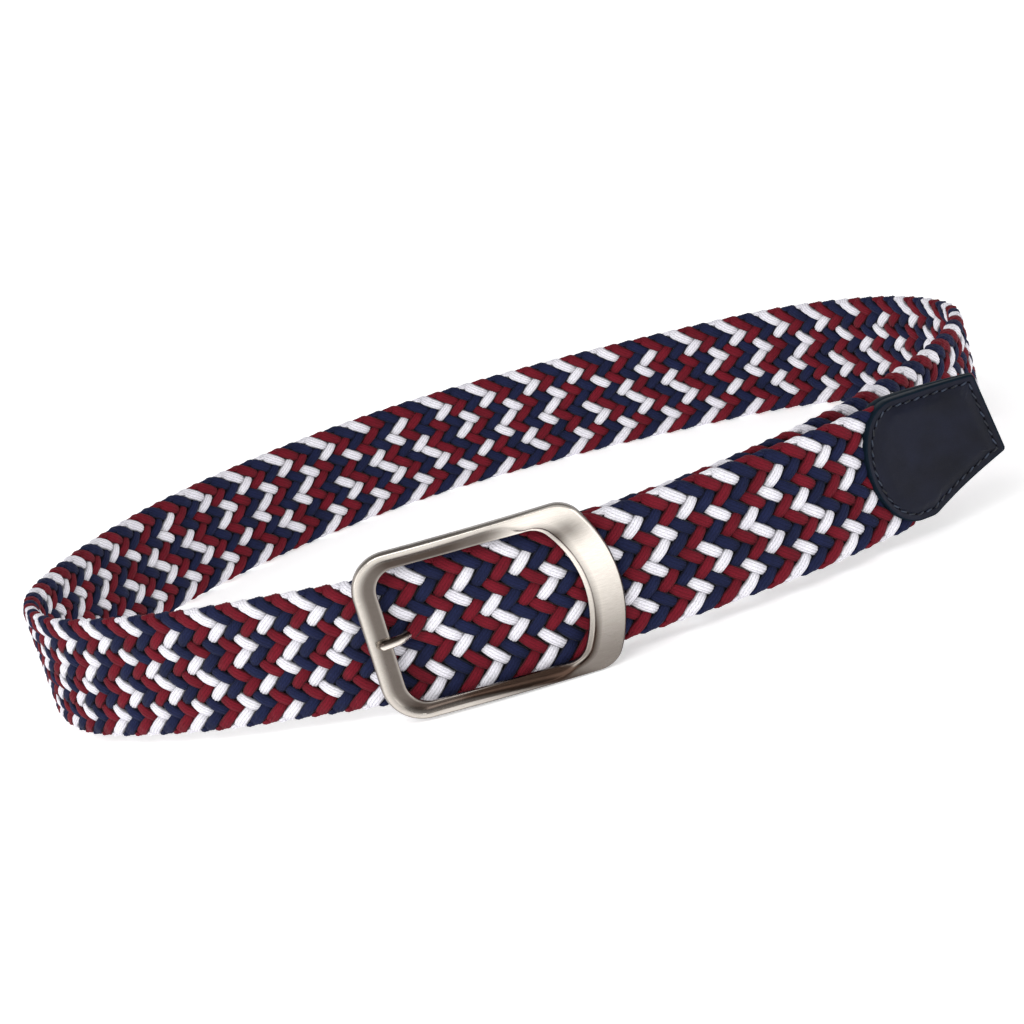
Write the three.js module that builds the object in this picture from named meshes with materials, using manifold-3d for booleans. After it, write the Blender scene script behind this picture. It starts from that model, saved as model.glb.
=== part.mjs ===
// A fastened elastic stretch belt: a braided strap with a leather tip and a cast pin buckle.
// It stands on its lower edge as an oval loop. Millimetres, X to the right, Y away, Z up.
import * as THREE from "three";
import { mergeVertices } from "three/addons/utils/BufferGeometryUtils.js";
import Module from "manifold-3d";

const wasm = await Module();
wasm.setup();

// Driving sizes.
const GAP = 0.3; // clearance left between two pieces that touch

const LOOP = {
  width: 290, // centre line, left end to right end
  depth: 225.3, // centre line, strap in the buckle to the strap at the back
};
const STRAP = {
  height: 35,
  thickness: 3.5,
  edgeRadius: 1.6,
  step: 7, // spacing of the cross-sections along the strap
  edgeSteps: 3,
  endClear: 1.6, // from the prong's eye to the end of the braid in the leather tab
};
const FRAME = {
  width: 66.7,
  right: 20.8, // farthest reach of the crescent, from the middle of the loop
  seat: 4.3, // the strap's lower edge over the frame's lower edge
  headroom: 6.3, // the frame's upper edge over the strap's upper edge
  cant: 0.011, // how much the left end rides higher, per mm along the frame
  leftBar: 6.2,
  topRail: 4.9,
  bottomRail: 4,
  crescent: 9.6,
  thickness: 3.2,
  edgeRadius: 0.9,
  bow: 1.6, // how far the middle of the rails stands out past the two ends
  sideRadius: 38, // of the crescent's outer edge
  sideMiddle: 21.8, // height of its farthest reach
  innerSideRadius: 29,
  innerSideMiddle: 21.2,
  leftCorner: 10.5,
  rightCorner: 7.5,
  innerLeftCorner: 6,
  innerRightCorner: 6,
};
const HEEL = {
  inset: 10.3, // from the crescent's farthest reach to the bar's axis
  radius: 1.9,
  lugWidth: 3.8,
  topLug: 2.6,
  bottomLug: 2.4,
  sides: 16,
};
const PRONG = {
  radius: 1.25,
  eyeWall: 1.3,
  eyeHeight: 3.4,
  crossing: 5.6, // from the left bar's inner edge to where it goes through the strap
  crossingHalf: 4.6,
  tipReach: 2.1, // how far its tip lies over the left bar
  notchDepth: 1.7,
  rise: 0.9, // of its axis over the strap's middle
  ease: 0.8, // how far its bends round off, as a share of their depth
  rootRun: 5, // from the eye to where it lies flat behind the strap
  sides: 10,
  steps: 30,
};
const TAB = {
  wall: 1.4,
  topLength: 8, // straight upper and lower edges, from the heel bar
  bulge: 12, // how far the rounded end runs on past them
  trim: 1.2, // how much lower than the strap it is
  flatFrom: 2.5, // where the fold runs out into the flat walls, from the bar's axis
  edgeRadius: 0.3,
  foldSteps: 10,
  wallSteps: 8,
};
const TIP = {
  wall: 1.2,
  endThickness: 3.4, // where the two leathers meet at the point
  bulge: 12.2, // rounded seam, back along the strap
  topLength: 23.4, // upper edge, from the seam to the square corner
  pointLength: 27.2, // seam to the point
  pointHeight: 13.6,
  chamferStart: 4.2, // where the lower edge starts to rise to the point
  edgeRadius: 0.8,
  lowerRise: 2, // how far its lower edge lies above the strap's
  upperRise: 0.8, // how far its upper edge lies above the strap's
  overlap: 5, // how far the braid runs on inside
  edgeTrim: 1.5, // how far the braid's edges lie inside the leather's
  pressed: 0.7, // share of the strap's thickness that is left in there
  seamSteps: 7,
  bodySteps: 9,
};

// Colours of the pieces.
const COLOURS = { braid: 0x5a2a44, nickel: 0xb9afa6, leather: 0x20242f };

// The strap's route in plan, as shares of the loop's width (across) and depth (away).
// lean: how far the upper edge lies farther in than the lower, as a share of the height.
// sink: how far the layer hangs below the rest, as a share of the strap's thickness.
const ROUTE = [
  { part: "heel bar", lean: 0, sink: 0.2 },
  { part: "inner layer, near buckle", across: 0.169, away: 0.0604, lean: 0.03, sink: 0.2 },
  { part: "inner layer, middle", across: 0.2931, away: 0.1403, lean: 0, sink: 0.05 },
  { part: "inner layer, turning", across: 0.3931, away: 0.2601, lean: 0, sink: 0 },
  { part: "right end, front", across: 0.4621, away: 0.3853, lean: 0, sink: 0 },
  { part: "right end, apex", across: 0.4966, away: 0.5273, lean: 0, sink: 0 },
  { part: "right end, back", across: 0.4621, away: 0.7093, lean: 0, sink: 0 },
  { part: "back, right shoulder", across: 0.3621, away: 0.8624, lean: 0, sink: 0 },
  { part: "back, right", across: 0.2241, away: 0.9414, lean: 0, sink: 0 },
  { part: "back, middle", across: 0.0655, away: 0.9911, lean: 0, sink: 0 },
  { part: "back, left of middle", across: -0.1, away: 0.9956, lean: 0, sink: 0 },
  { part: "back, left", across: -0.2517, away: 0.9268, lean: 0, sink: 0 },
  { part: "back, left shoulder", across: -0.3897, away: 0.7825, lean: 0, sink: 0 },
  { part: "left end, back", across: -0.4759, away: 0.5806, lean: 0, sink: 0 },
  { part: "left end, apex", across: -0.4966, away: 0.4163, lean: 0, sink: 0 },
  { part: "left end, front", across: -0.4517, away: 0.2565, lean: 0, sink: 0 },
  { part: "front, left", across: -0.3345, away: 0.1269, lean: 0, sink: 0 },
  { part: "front, near buckle", across: -0.2241, away: 0.0555, lean: 0, sink: 0 },
  { part: "behind the left bar", across: -0.1414, away: 0.0124, lean: 0, sink: 0 },
  { part: "in the buckle", across: -0.0552, away: 0.0004, lean: 0, sink: 0 },
  { part: "behind the crescent", across: 0.0448, away: 0, lean: 0.01, sink: 0 },
  { part: "tail, near buckle", across: 0.1517, away: 0.024, lean: 0.1, sink: 0 },
  { part: "tail, middle", across: 0.2552, away: 0.0568, lean: 0.11, sink: 0 },
  { part: "tail, before tip", across: 0.331, away: 0.0968, lean: 0.07, sink: 0 },
  { part: "tip, seam", across: 0.3828, away: 0.1101, lean: 0.02, sink: 0 },
  { part: "tip, point", across: 0.4461, away: 0.1056, lean: 0, sink: 0 },
];

// Sizes that follow from the ones above.
const HALF = STRAP.thickness / 2;
const FRAME_LEFT = FRAME.right - FRAME.width;
const FRAME_HEIGHT = FRAME.seat + STRAP.height + FRAME.headroom;
const BAR_INNER = FRAME_LEFT + FRAME.leftBar;
const FRAME_BACK = -HALF - GAP;
const FRAME_FRONT = FRAME_BACK - FRAME.thickness;
const PRONG_HEIGHT = FRAME.seat + STRAP.height / 2 + PRONG.rise;
const EYE_OUTSIDE = HEEL.radius + GAP + PRONG.eyeWall;
const TAB_OFFSET = HALF + GAP + TAB.wall / 2;
const FOLD_OUTSIDE = HEEL.radius + GAP + TAB.wall;

// The heel bar's axis keeps its leather clear of the tail in front of it.
const HEEL_X = FRAME.right - HEEL.inset;
const HEEL_Y = HALF + GAP + FOLD_OUTSIDE;

// The route starts at the heel bar's axis and then follows the table.
const routeCurve = new THREE.CatmullRomCurve3(
  [
    new THREE.Vector3(HEEL_X, HEEL_Y, 0),
    ...ROUTE.slice(1).map((row) => new THREE.Vector3(row.across * LOOP.width, row.away * LOOP.depth, 0)),
  ],
  false,
  "centripetal",
);
routeCurve.arcLengthDivisions = 1200;
const ROUTE_LENGTH = routeCurve.getLength();
const SEAM_AT = ROUTE_LENGTH - TIP.pointLength;

// A column of the route table at a share of the route's length, read with the curve's own spacing.
function column(name, share) {
  const at = routeCurve.getUtoTmapping(share) * (ROUTE.length - 1);
  const row = Math.min(Math.floor(at), ROUTE.length - 2);
  return THREE.MathUtils.lerp(ROUTE[row][name], ROUTE[row + 1][name], at - row);
}

// How high the strap's lower edge is carried: level with the buckle in front, on the floor at the back.
function liftAt(y) {
  return FRAME.seat * THREE.MathUtils.clamp(1 - y / LOOP.depth, 0, 1);
}

// A place on the strap: along it, across its thickness (in towards the loop) and up its height.
function onStrap(along, inward, up) {
  const share = THREE.MathUtils.clamp(along / ROUTE_LENGTH, 0, 1);
  const centre = routeCurve.getPointAt(share);
  const tangent = routeCurve.getTangentAt(share);
  const lean = column("lean", share) * (up - STRAP.height / 2);
  const inwards = inward + lean;
  const past = along - share * ROUTE_LENGTH;
  return new THREE.Vector3(
    centre.x - tangent.y * inwards + tangent.x * past,
    centre.y + tangent.x * inwards + tangent.y * past,
    liftAt(centre.y) - column("sink", share) * STRAP.thickness + up,
  );
}

// A rounded rectangle round (0, middle): corners of equal radius, as [inward, up] pairs.
function roundedSection(thickness, bottom, top, radius, steps) {
  const r = Math.min(radius, 0.49 * thickness, 0.49 * (top - bottom));
  const centres = [
    [thickness / 2 - r, bottom + r, -Math.PI / 2],
    [thickness / 2 - r, top - r, 0],
    [-thickness / 2 + r, top - r, Math.PI / 2],
    [-thickness / 2 + r, bottom + r, Math.PI],
  ];
  const outline = [];
  for (const [a, b, start] of centres) {
    for (let i = 0; i <= steps; i++) {
      const angle = start + (Math.PI / 2) * (i / steps);
      outline.push([a + r * Math.cos(angle), b + r * Math.sin(angle)]);
    }
  }
  return outline;
}

// A closed surface through rings of equal count. An open run gets a fan at each end.
function loft(rings, closed) {
  const n = rings[0].length;
  const vertices = rings.flat();
  const faces = [];
  const last = closed ? rings.length : rings.length - 1;
  for (let i = 0; i < last; i++) {
    const a = i * n;
    const b = ((i + 1) % rings.length) * n;
    for (let j = 0; j < n; j++) {
      const k = (j + 1) % n;
      faces.push(a + j, b + j, b + k, a + j, b + k, a + k);
    }
  }
  if (!closed) {
    for (const [start, flip] of [[0, false], [(rings.length - 1) * n, true]]) {
      const middle = new THREE.Vector3();
      for (let j = 0; j < n; j++) middle.add(vertices[start + j]);
      vertices.push(middle.divideScalar(n));
      for (let j = 0; j < n; j++) {
        const pair = [start + j, start + ((j + 1) % n)];
        if (flip) pair.reverse();
        faces.push(vertices.length - 1, ...pair);
      }
    }
  }
  return toSolid(new THREE.BufferGeometry().setFromPoints(vertices).setIndex(faces));
}

// A geometry as a solid with its faces out.
function toSolid(geometry) {
  const bare = geometry.clone();
  bare.deleteAttribute("normal");
  bare.deleteAttribute("uv");
  const merged = mergeVertices(bare, 1e-4);
  const build = (triVerts) =>
    new wasm.Manifold(
      new wasm.Mesh({
        numProp: 3,
        vertProperties: new Float32Array(merged.attributes.position.array),
        triVerts,
      }),
    );
  const solid = build(new Uint32Array(merged.index.array));
  if (solid.volume() > 0) return solid;
  return build(new Uint32Array(merged.index.array).reverse());
}

function toMesh(name, solid, material) {
  const mesh = solid.getMesh();
  const geometry = new THREE.BufferGeometry();
  geometry.setAttribute("position", new THREE.BufferAttribute(mesh.vertProperties, mesh.numProp));
  geometry.setIndex(new THREE.BufferAttribute(mesh.triVerts, 1));
  const piece = new THREE.Mesh(geometry, material);
  piece.name = name;
  return piece;
}

function box(x0, x1, y0, y1, z0, z1) {
  const geometry = new THREE.BoxGeometry(x1 - x0, y1 - y0, z1 - z0);
  geometry.translate((x0 + x1) / 2, (y0 + y1) / 2, (z0 + z1) / 2);
  return toSolid(geometry);
}

function upright(radius, x, y, z0, z1, sides) {
  const geometry = new THREE.CylinderGeometry(radius, radius, z1 - z0, sides);
  geometry.rotateX(Math.PI / 2);
  geometry.translate(x, y, (z0 + z1) / 2);
  return toSolid(geometry);
}

// The braid as one band. It is pressed lower and thinner inside the leather tip.
function strapBand(grow) {
  const start = EYE_OUTSIDE + STRAP.endClear - grow;
  const end = SEAM_AT + TIP.overlap + grow;
  const count = Math.round((end - start) / STRAP.step);
  const rings = [];
  for (let i = 0; i <= count; i++) {
    const along = THREE.MathUtils.lerp(start, end, i / count);
    const pressed = THREE.MathUtils.smoothstep(along, SEAM_AT - TIP.overlap, SEAM_AT + 0.5 * TIP.overlap);
    const bottom = pressed * (TIP.lowerRise + TIP.edgeTrim) - grow;
    const top = STRAP.height - pressed * TIP.edgeTrim + grow;
    const thickness = STRAP.thickness * THREE.MathUtils.lerp(1, TIP.pressed, pressed) + 2 * grow;
    const section = roundedSection(thickness, bottom, top, STRAP.edgeRadius + grow, STRAP.edgeSteps);
    rings.push(section.map(([inward, up]) => onStrap(along, inward, up)));
  }
  return loft(rings, false);
}

// A corner or side of a buckle outline, as points on a circular arc or a line, without the last.
function arc(cx, cz, radius, from, to, steps) {
  return Array.from({ length: steps }, (_, i) => {
    const angle = THREE.MathUtils.lerp(from, to, i / steps);
    return [cx + radius * Math.cos(angle), cz + radius * Math.sin(angle)];
  });
}

function line(from, to, steps) {
  return Array.from({ length: steps }, (_, i) => [
    THREE.MathUtils.lerp(from[0], to[0], i / steps),
    THREE.MathUtils.lerp(from[1], to[1], i / steps),
  ]);
}

// One edge of the frame, anticlockwise from the lower left corner: two straight rails, a straight
// left bar and an arc as the right side, which runs into its corners without a kink. Both edges
// have the same count, so they pair up point by point.
function frameOutline(left, right, bottom, top, leftCorner, rightCorner, sideRadius, sideMiddle) {
  const sideX = right - sideRadius;
  const corner = (z) => {
    const rise = z - sideMiddle;
    const reach = Math.sqrt((sideRadius - rightCorner) ** 2 - rise * rise);
    return { x: sideX + reach, z, angle: Math.atan2(rise, reach) };
  };
  const lower = corner(bottom + rightCorner);
  const upper = corner(top - rightCorner);
  return [
    ...arc(left + leftCorner, bottom + leftCorner, leftCorner, Math.PI, 1.5 * Math.PI, 6),
    ...line([left + leftCorner, bottom], [lower.x, bottom], 9),
    ...arc(lower.x, lower.z, rightCorner, -Math.PI / 2, lower.angle, 5),
    ...arc(sideX, sideMiddle, sideRadius, lower.angle, upper.angle, 8),
    ...arc(upper.x, upper.z, rightCorner, upper.angle, Math.PI / 2, 5),
    ...line([upper.x, top], [left + leftCorner, top], 9),
    ...arc(left + leftCorner, top - leftCorner, leftCorner, Math.PI / 2, Math.PI, 6),
    ...line([left, top - leftCorner], [left, bottom + leftCorner], 6),
  ];
}

// The rounded bar between the frame's outer and inner edge, bowed forward in the middle.
function frameRing() {
  const outer = frameOutline(
    FRAME_LEFT, FRAME.right, 0, FRAME_HEIGHT,
    FRAME.leftCorner, FRAME.rightCorner, FRAME.sideRadius, FRAME.sideMiddle,
  );
  const inner = frameOutline(
    BAR_INNER, FRAME.right - FRAME.crescent, FRAME.bottomRail, FRAME_HEIGHT - FRAME.topRail,
    FRAME.innerLeftCorner, FRAME.innerRightCorner, FRAME.innerSideRadius, FRAME.innerSideMiddle,
  );
  const halfWidth = FRAME.width / 2;
  const middleX = FRAME.right - halfWidth;
  const rings = outer.map(([ox, oz], i) => {
    const [ix, iz] = inner[i];
    const width = Math.hypot(ix - ox, iz - oz);
    return roundedSection(width, FRAME_FRONT, FRAME_BACK, FRAME.edgeRadius, 2).map(([across, y]) => {
      const share = across / width + 0.5;
      const x = THREE.MathUtils.lerp(ox, ix, share);
      const z = THREE.MathUtils.lerp(oz, iz, share) + FRAME.cant * (FRAME.right - x);
      const reach = (x - middleX) / halfWidth;
      return new THREE.Vector3(x, y - FRAME.bow * (1 - reach * reach), z);
    });
  });
  return loft(rings, true);
}

// The prong's way: out of its eye, along behind the strap, through it and onto the left bar.
function prongCurve() {
  const behind = HALF + GAP + PRONG.radius;
  const onBar = FRAME_FRONT + PRONG.notchDepth - GAP - PRONG.radius;
  const eyeEdge = HEEL_X - EYE_OUTSIDE + PRONG.eyeWall / 2;
  const crossing = BAR_INNER + PRONG.crossing;
  const at = (x, y) => new THREE.Vector3(x, y, PRONG_HEIGHT);
  return new THREE.CatmullRomCurve3(
    [
      at(eyeEdge, HEEL_Y),
      at(eyeEdge - PRONG.rootRun, behind + GAP),
      at(crossing + 2 * PRONG.crossingHalf, behind),
      at(crossing + PRONG.crossingHalf, PRONG.ease * behind),
      at(crossing, 0),
      at(crossing - PRONG.crossingHalf, PRONG.ease * onBar),
      at(BAR_INNER - PRONG.tipReach, onBar),
    ],
    false,
    "centripetal",
  );
}

function prongRod(radius) {
  const section = new THREE.Shape();
  section.absarc(0, 0, radius, 0, 2 * Math.PI);
  const geometry = new THREE.ExtrudeGeometry(section, {
    steps: PRONG.steps,
    curveSegments: PRONG.sides,
    extrudePath: prongCurve(),
    bevelEnabled: false,
  });
  const tip = new THREE.SphereGeometry(radius, PRONG.sides, 6);
  const end = prongCurve().getPoint(1);
  tip.translate(end.x, end.y, end.z);
  return toSolid(geometry).add(toSolid(tip));
}

function heelBar() {
  const low = FRAME.seat - GAP - ROUTE[0].sink * STRAP.thickness;
  const high = FRAME.seat + STRAP.height + GAP;
  const back = HEEL_Y + HEEL.radius;
  const front = FRAME_BACK - FRAME.thickness / 2;
  const x0 = HEEL_X - HEEL.lugWidth / 2;
  const x1 = HEEL_X + HEEL.lugWidth / 2;
  return upright(HEEL.radius, HEEL_X, HEEL_Y, low - HEEL.bottomLug / 2, high + HEEL.topLug / 2, HEEL.sides)
    .add(box(x0, x1, front, back, low - HEEL.bottomLug, low))
    .add(box(x0, x1, front, back, high, high + HEEL.topLug));
}

function buckleFrame() {
  return frameRing().add(heelBar()).subtract(prongRod(PRONG.radius + GAP));
}

function prong() {
  const low = PRONG_HEIGHT - PRONG.eyeHeight / 2;
  const high = PRONG_HEIGHT + PRONG.eyeHeight / 2;
  const bore = upright(HEEL.radius + GAP, HEEL_X, HEEL_Y, low - 1, high + 1, HEEL.sides);
  return upright(EYE_OUTSIDE, HEEL_X, HEEL_Y, low, high, HEEL.sides)
    .add(prongRod(PRONG.radius))
    .subtract(bore);
}

// Leather folded round the heel bar: its plan is a U, outer wall, fold and inner wall.
function tabBand(base) {
  const reach = TAB.topLength + TAB.bulge;
  const foldRadius = HEEL.radius + GAP + TAB.wall / 2;
  const wall = (side) =>
    Array.from({ length: TAB.wallSteps }, (_, i) => {
      const along = THREE.MathUtils.lerp(TAB.flatFrom, reach, i / (TAB.wallSteps - 1));
      return (w, up) => onStrap(along, side * (TAB_OFFSET + w), up);
    });
  const fold = Array.from({ length: TAB.foldSteps + 1 }, (_, i) => {
    const angle = THREE.MathUtils.lerp(1.5 * Math.PI, 0.5 * Math.PI, i / TAB.foldSteps);
    return (w, up) =>
      new THREE.Vector3(
        HEEL_X + (foldRadius + w) * Math.cos(angle), HEEL_Y + (foldRadius + w) * Math.sin(angle), base + up,
      );
  });
  const section = roundedSection(TAB.wall, TAB.trim / 2, STRAP.height - TAB.trim / 2, TAB.edgeRadius, 1);
  const places = [...wall(-1).reverse(), ...fold, ...wall(1)];
  return loft(places.map((place) => section.map(([w, up]) => place(w, up))), false);
}

// What is kept of the tab, seen from the front: straight edges and a rounded end.
function tabOutline(base) {
  const endX = HEEL_X + TAB.topLength;
  const left = HEEL_X - 2 * FOLD_OUTSIDE;
  const outline = new THREE.Shape();
  outline.moveTo(left, base);
  outline.lineTo(endX, base);
  outline.absellipse(
    endX, base + STRAP.height / 2, TAB.bulge, STRAP.height / 2, -Math.PI / 2, Math.PI / 2,
  );
  outline.lineTo(left, base + STRAP.height);
  const cutter = new THREE.ExtrudeGeometry(outline, {
    depth: 8 * FOLD_OUTSIDE,
    curveSegments: 16,
    bevelEnabled: false,
  });
  cutter.rotateX(Math.PI / 2);
  cutter.translate(0, HEEL_Y + 5 * FOLD_OUTSIDE, 0);
  return toSolid(cutter);
}

function buckleTab() {
  const base = onStrap(0, 0, 0).z;
  const slotHalf = PRONG.eyeHeight / 2 + GAP;
  const slot = box(
    HEEL_X - 2 * FOLD_OUTSIDE, HEEL_X + EYE_OUTSIDE + GAP,
    HEEL_Y - 2 * FOLD_OUTSIDE, HEEL_Y + 2 * FOLD_OUTSIDE,
    PRONG_HEIGHT - slotHalf, PRONG_HEIGHT + slotHalf,
  );
  return tabBand(base).intersect(tabOutline(base)).subtract(slot);
}

// The leather tip's lower and upper edge at a place along the strap, from the seam.
function tipEdges(u) {
  const top = STRAP.height + TIP.upperRise;
  if (u < 0) {
    const full = (top - TIP.lowerRise) / 2;
    const half = full * Math.sqrt(Math.max(1 - (u / TIP.bulge) ** 2, 0.004));
    return { bottom: top - full - half, top: top - full + half };
  }
  const toPoint = THREE.MathUtils.clamp((u - TIP.topLength) / (TIP.pointLength - TIP.topLength), 0, 0.97);
  const rise = THREE.MathUtils.clamp((u - TIP.chamferStart) / (TIP.pointLength - TIP.chamferStart), 0, 1);
  return {
    bottom: THREE.MathUtils.lerp(TIP.lowerRise, TIP.pointHeight, rise),
    top: THREE.MathUtils.lerp(top, TIP.pointHeight, toPoint),
  };
}

function tipLeather() {
  const full = STRAP.thickness + 2 * (GAP + TIP.wall);
  const stations = [];
  for (let i = 0; i < TIP.seamSteps; i++) {
    stations.push(-TIP.bulge * Math.cos((Math.PI / 2) * (i / TIP.seamSteps)));
  }
  stations.push(0, TIP.chamferStart);
  for (let i = 1; i <= TIP.bodySteps; i++) {
    stations.push(THREE.MathUtils.lerp(TIP.chamferStart, TIP.topLength, i / TIP.bodySteps));
  }
  stations.push((TIP.topLength + TIP.pointLength) / 2, TIP.pointLength);
  const rings = stations.map((u) => {
    const { bottom, top } = tipEdges(u);
    const thinned = THREE.MathUtils.smoothstep(u, 0.4 * TIP.overlap, TIP.topLength);
    const thickness = THREE.MathUtils.lerp(full, TIP.endThickness, thinned);
    return roundedSection(thickness, bottom, top, TIP.edgeRadius, 2).map(([inward, up]) =>
      onStrap(SEAM_AT + u, inward, up),
    );
  });
  return loft(rings, false).subtract(strapBand(GAP));
}

const nickel = new THREE.MeshStandardMaterial({ color: COLOURS.nickel, roughness: 0.35, metalness: 1 });
const braid = new THREE.MeshStandardMaterial({ color: COLOURS.braid, roughness: 0.9, metalness: 0 });
const leather = new THREE.MeshStandardMaterial({ color: COLOURS.leather, roughness: 0.45, metalness: 0 });

const belt = new THREE.Group();
belt.add(
  toMesh("braided_strap", strapBand(0).subtract(prongRod(PRONG.radius + GAP)), braid),
  toMesh("buckle_frame", buckleFrame(), nickel),
  toMesh("prong", prong(), nickel),
  toMesh("buckle_tab", buckleTab(), leather),
  toMesh("tip_leather", tipLeather(), leather),
);

// The origin is under the middle of the belt, on the surface that it stands on.
const bounds = new THREE.Box3().setFromObject(belt);
const centre = bounds.getCenter(new THREE.Vector3());
belt.position.set(-centre.x, -centre.y, -bounds.min.z);

const part = new THREE.Group();
part.add(belt);

export default part;
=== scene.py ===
"""The looks of a fastened elastic stretch belt: braided strap, leather tip and tab, cast pin buckle.

Sizes are in millimetres, in the strap's own coordinates (x to the right, y away from the viewer,
z up), and become metres in the frame's coordinates when a mesh is made.
"""

import logging
import math
from dataclasses import dataclass, field
from enum import Enum
from typing import Callable, Optional, Sequence, Union

import bpy
import numpy as np
from mathutils import Matrix


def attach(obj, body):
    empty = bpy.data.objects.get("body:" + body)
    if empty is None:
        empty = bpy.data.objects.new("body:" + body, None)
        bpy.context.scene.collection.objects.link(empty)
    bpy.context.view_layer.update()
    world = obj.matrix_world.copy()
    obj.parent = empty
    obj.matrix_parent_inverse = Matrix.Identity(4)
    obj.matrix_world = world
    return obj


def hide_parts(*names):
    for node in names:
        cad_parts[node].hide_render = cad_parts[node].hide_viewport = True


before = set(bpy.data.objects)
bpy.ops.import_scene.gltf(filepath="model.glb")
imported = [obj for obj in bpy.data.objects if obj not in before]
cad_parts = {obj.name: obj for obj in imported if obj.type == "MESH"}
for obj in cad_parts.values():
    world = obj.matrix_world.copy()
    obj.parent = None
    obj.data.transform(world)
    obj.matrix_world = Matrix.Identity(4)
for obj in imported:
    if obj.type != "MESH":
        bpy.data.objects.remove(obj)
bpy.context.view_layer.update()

LOG = logging.getLogger("belt")

# Where the strap's own origin lies in the frame, in millimetres.
ORIGIN = np.array([0.117, -110.258, 0.0])

WHITE = "#FFFFFF"
# A wave texture's phase for each unit across its bands at scale 1, in radians.
LEVEL_WAVE = 20.0
DIAGONAL_WAVE = 10 * math.sqrt(3)

# What a node's input takes, and what gives the point over a leather at a place and a height.
Value = Union[float, str, tuple[float, ...], bpy.types.NodeSocket]
Skin = Callable[[np.ndarray, float], np.ndarray]


class Slot(Enum):
    """Material slots."""

    BRAID = "braid"
    NICKEL = "nickel"
    LEATHER = "leather"


class Side(Enum):
    """A face of the strap: OUTER looks away from the loop, INNER into it."""

    OUTER = -1.0
    INNER = 1.0


def linear(colour: str) -> tuple[float, float, float, float]:
    """Turns an sRGB hex colour into linear light.

    Args:
        colour: the colour as "#RRGGBB".

    Returns:
        Red, green, blue and an alpha of 1, in linear light.
    """
    parts = [int(colour[i : i + 2], 16) / 255 for i in (1, 3, 5)]
    red, green, blue = (c / 12.92 if c <= 0.04045 else ((c + 0.055) / 1.055) ** 2.4 for c in parts)
    return red, green, blue, 1.0


def smoothstep(value: np.ndarray, low: float, high: float) -> np.ndarray:
    """Rises smoothly from 0 at low to 1 at high.

    Args:
        value: the numbers to read the step at.
        low: where it starts to rise.
        high: where it is 1.

    Returns:
        The step at each number.
    """
    share = np.clip((np.asarray(value, float) - low) / (high - low), 0, 1)
    return share * share * (3 - 2 * share)


def unit(vectors: np.ndarray) -> np.ndarray:
    """Returns the vectors of the last axis at length 1."""
    return vectors / np.maximum(np.linalg.norm(vectors, axis=-1, keepdims=True), 1e-9)


def run_along(points: np.ndarray) -> np.ndarray:
    """Returns how far along a line each of its points lies, from 0."""
    return np.concatenate([[0], np.cumsum(np.linalg.norm(np.diff(points, axis=0), axis=1))])


def hermite(
    start: np.ndarray, end: np.ndarray, leave: np.ndarray, enter: np.ndarray, share: np.ndarray
) -> np.ndarray:
    """Reads a cubic between two points.

    Args:
        start: where it starts.
        end: where it ends.
        leave: its slope at the start.
        enter: its slope at the end.
        share: where it is read, from 0 to 1.

    Returns:
        The cubic at each share.
    """
    bend = (3 * (end - start) - 2 * leave - enter) * share**2
    return start + leave * share + bend + (2 * (start - end) + leave + enter) * share**3


def wave_scale(length: float, phase: float) -> float:
    """Works out a wave texture's scale in object coordinates.

    Args:
        length: millimetres from one band to the next.
        phase: the wave's own phase to the unit, in radians.

    Returns:
        The scale.
    """
    return 2000 * math.pi / (phase * length)


def add_node(
    tree: bpy.types.NodeTree,
    kind: str,
    settings: Optional[dict[str, object]] = None,
    inputs: Optional[dict[object, object]] = None,
) -> bpy.types.Node:
    """Adds a node with its settings, input values and links.

    Args:
        tree: the node tree that gets it.
        kind: Blender's type name, such as "ShaderNodeTexNoise".
        settings: properties of the node by name.
        inputs: a value, or the output socket that feeds it, by input name or number.

    Returns:
        The new node.
    """
    node = tree.nodes.new(kind)
    for name, value in (settings or {}).items():
        setattr(node, name, value)
    for name, value in (inputs or {}).items():
        if isinstance(value, bpy.types.NodeSocket):
            tree.links.new(value, node.inputs[name])
        else:
            node.inputs[name].default_value = value
    return node


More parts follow.
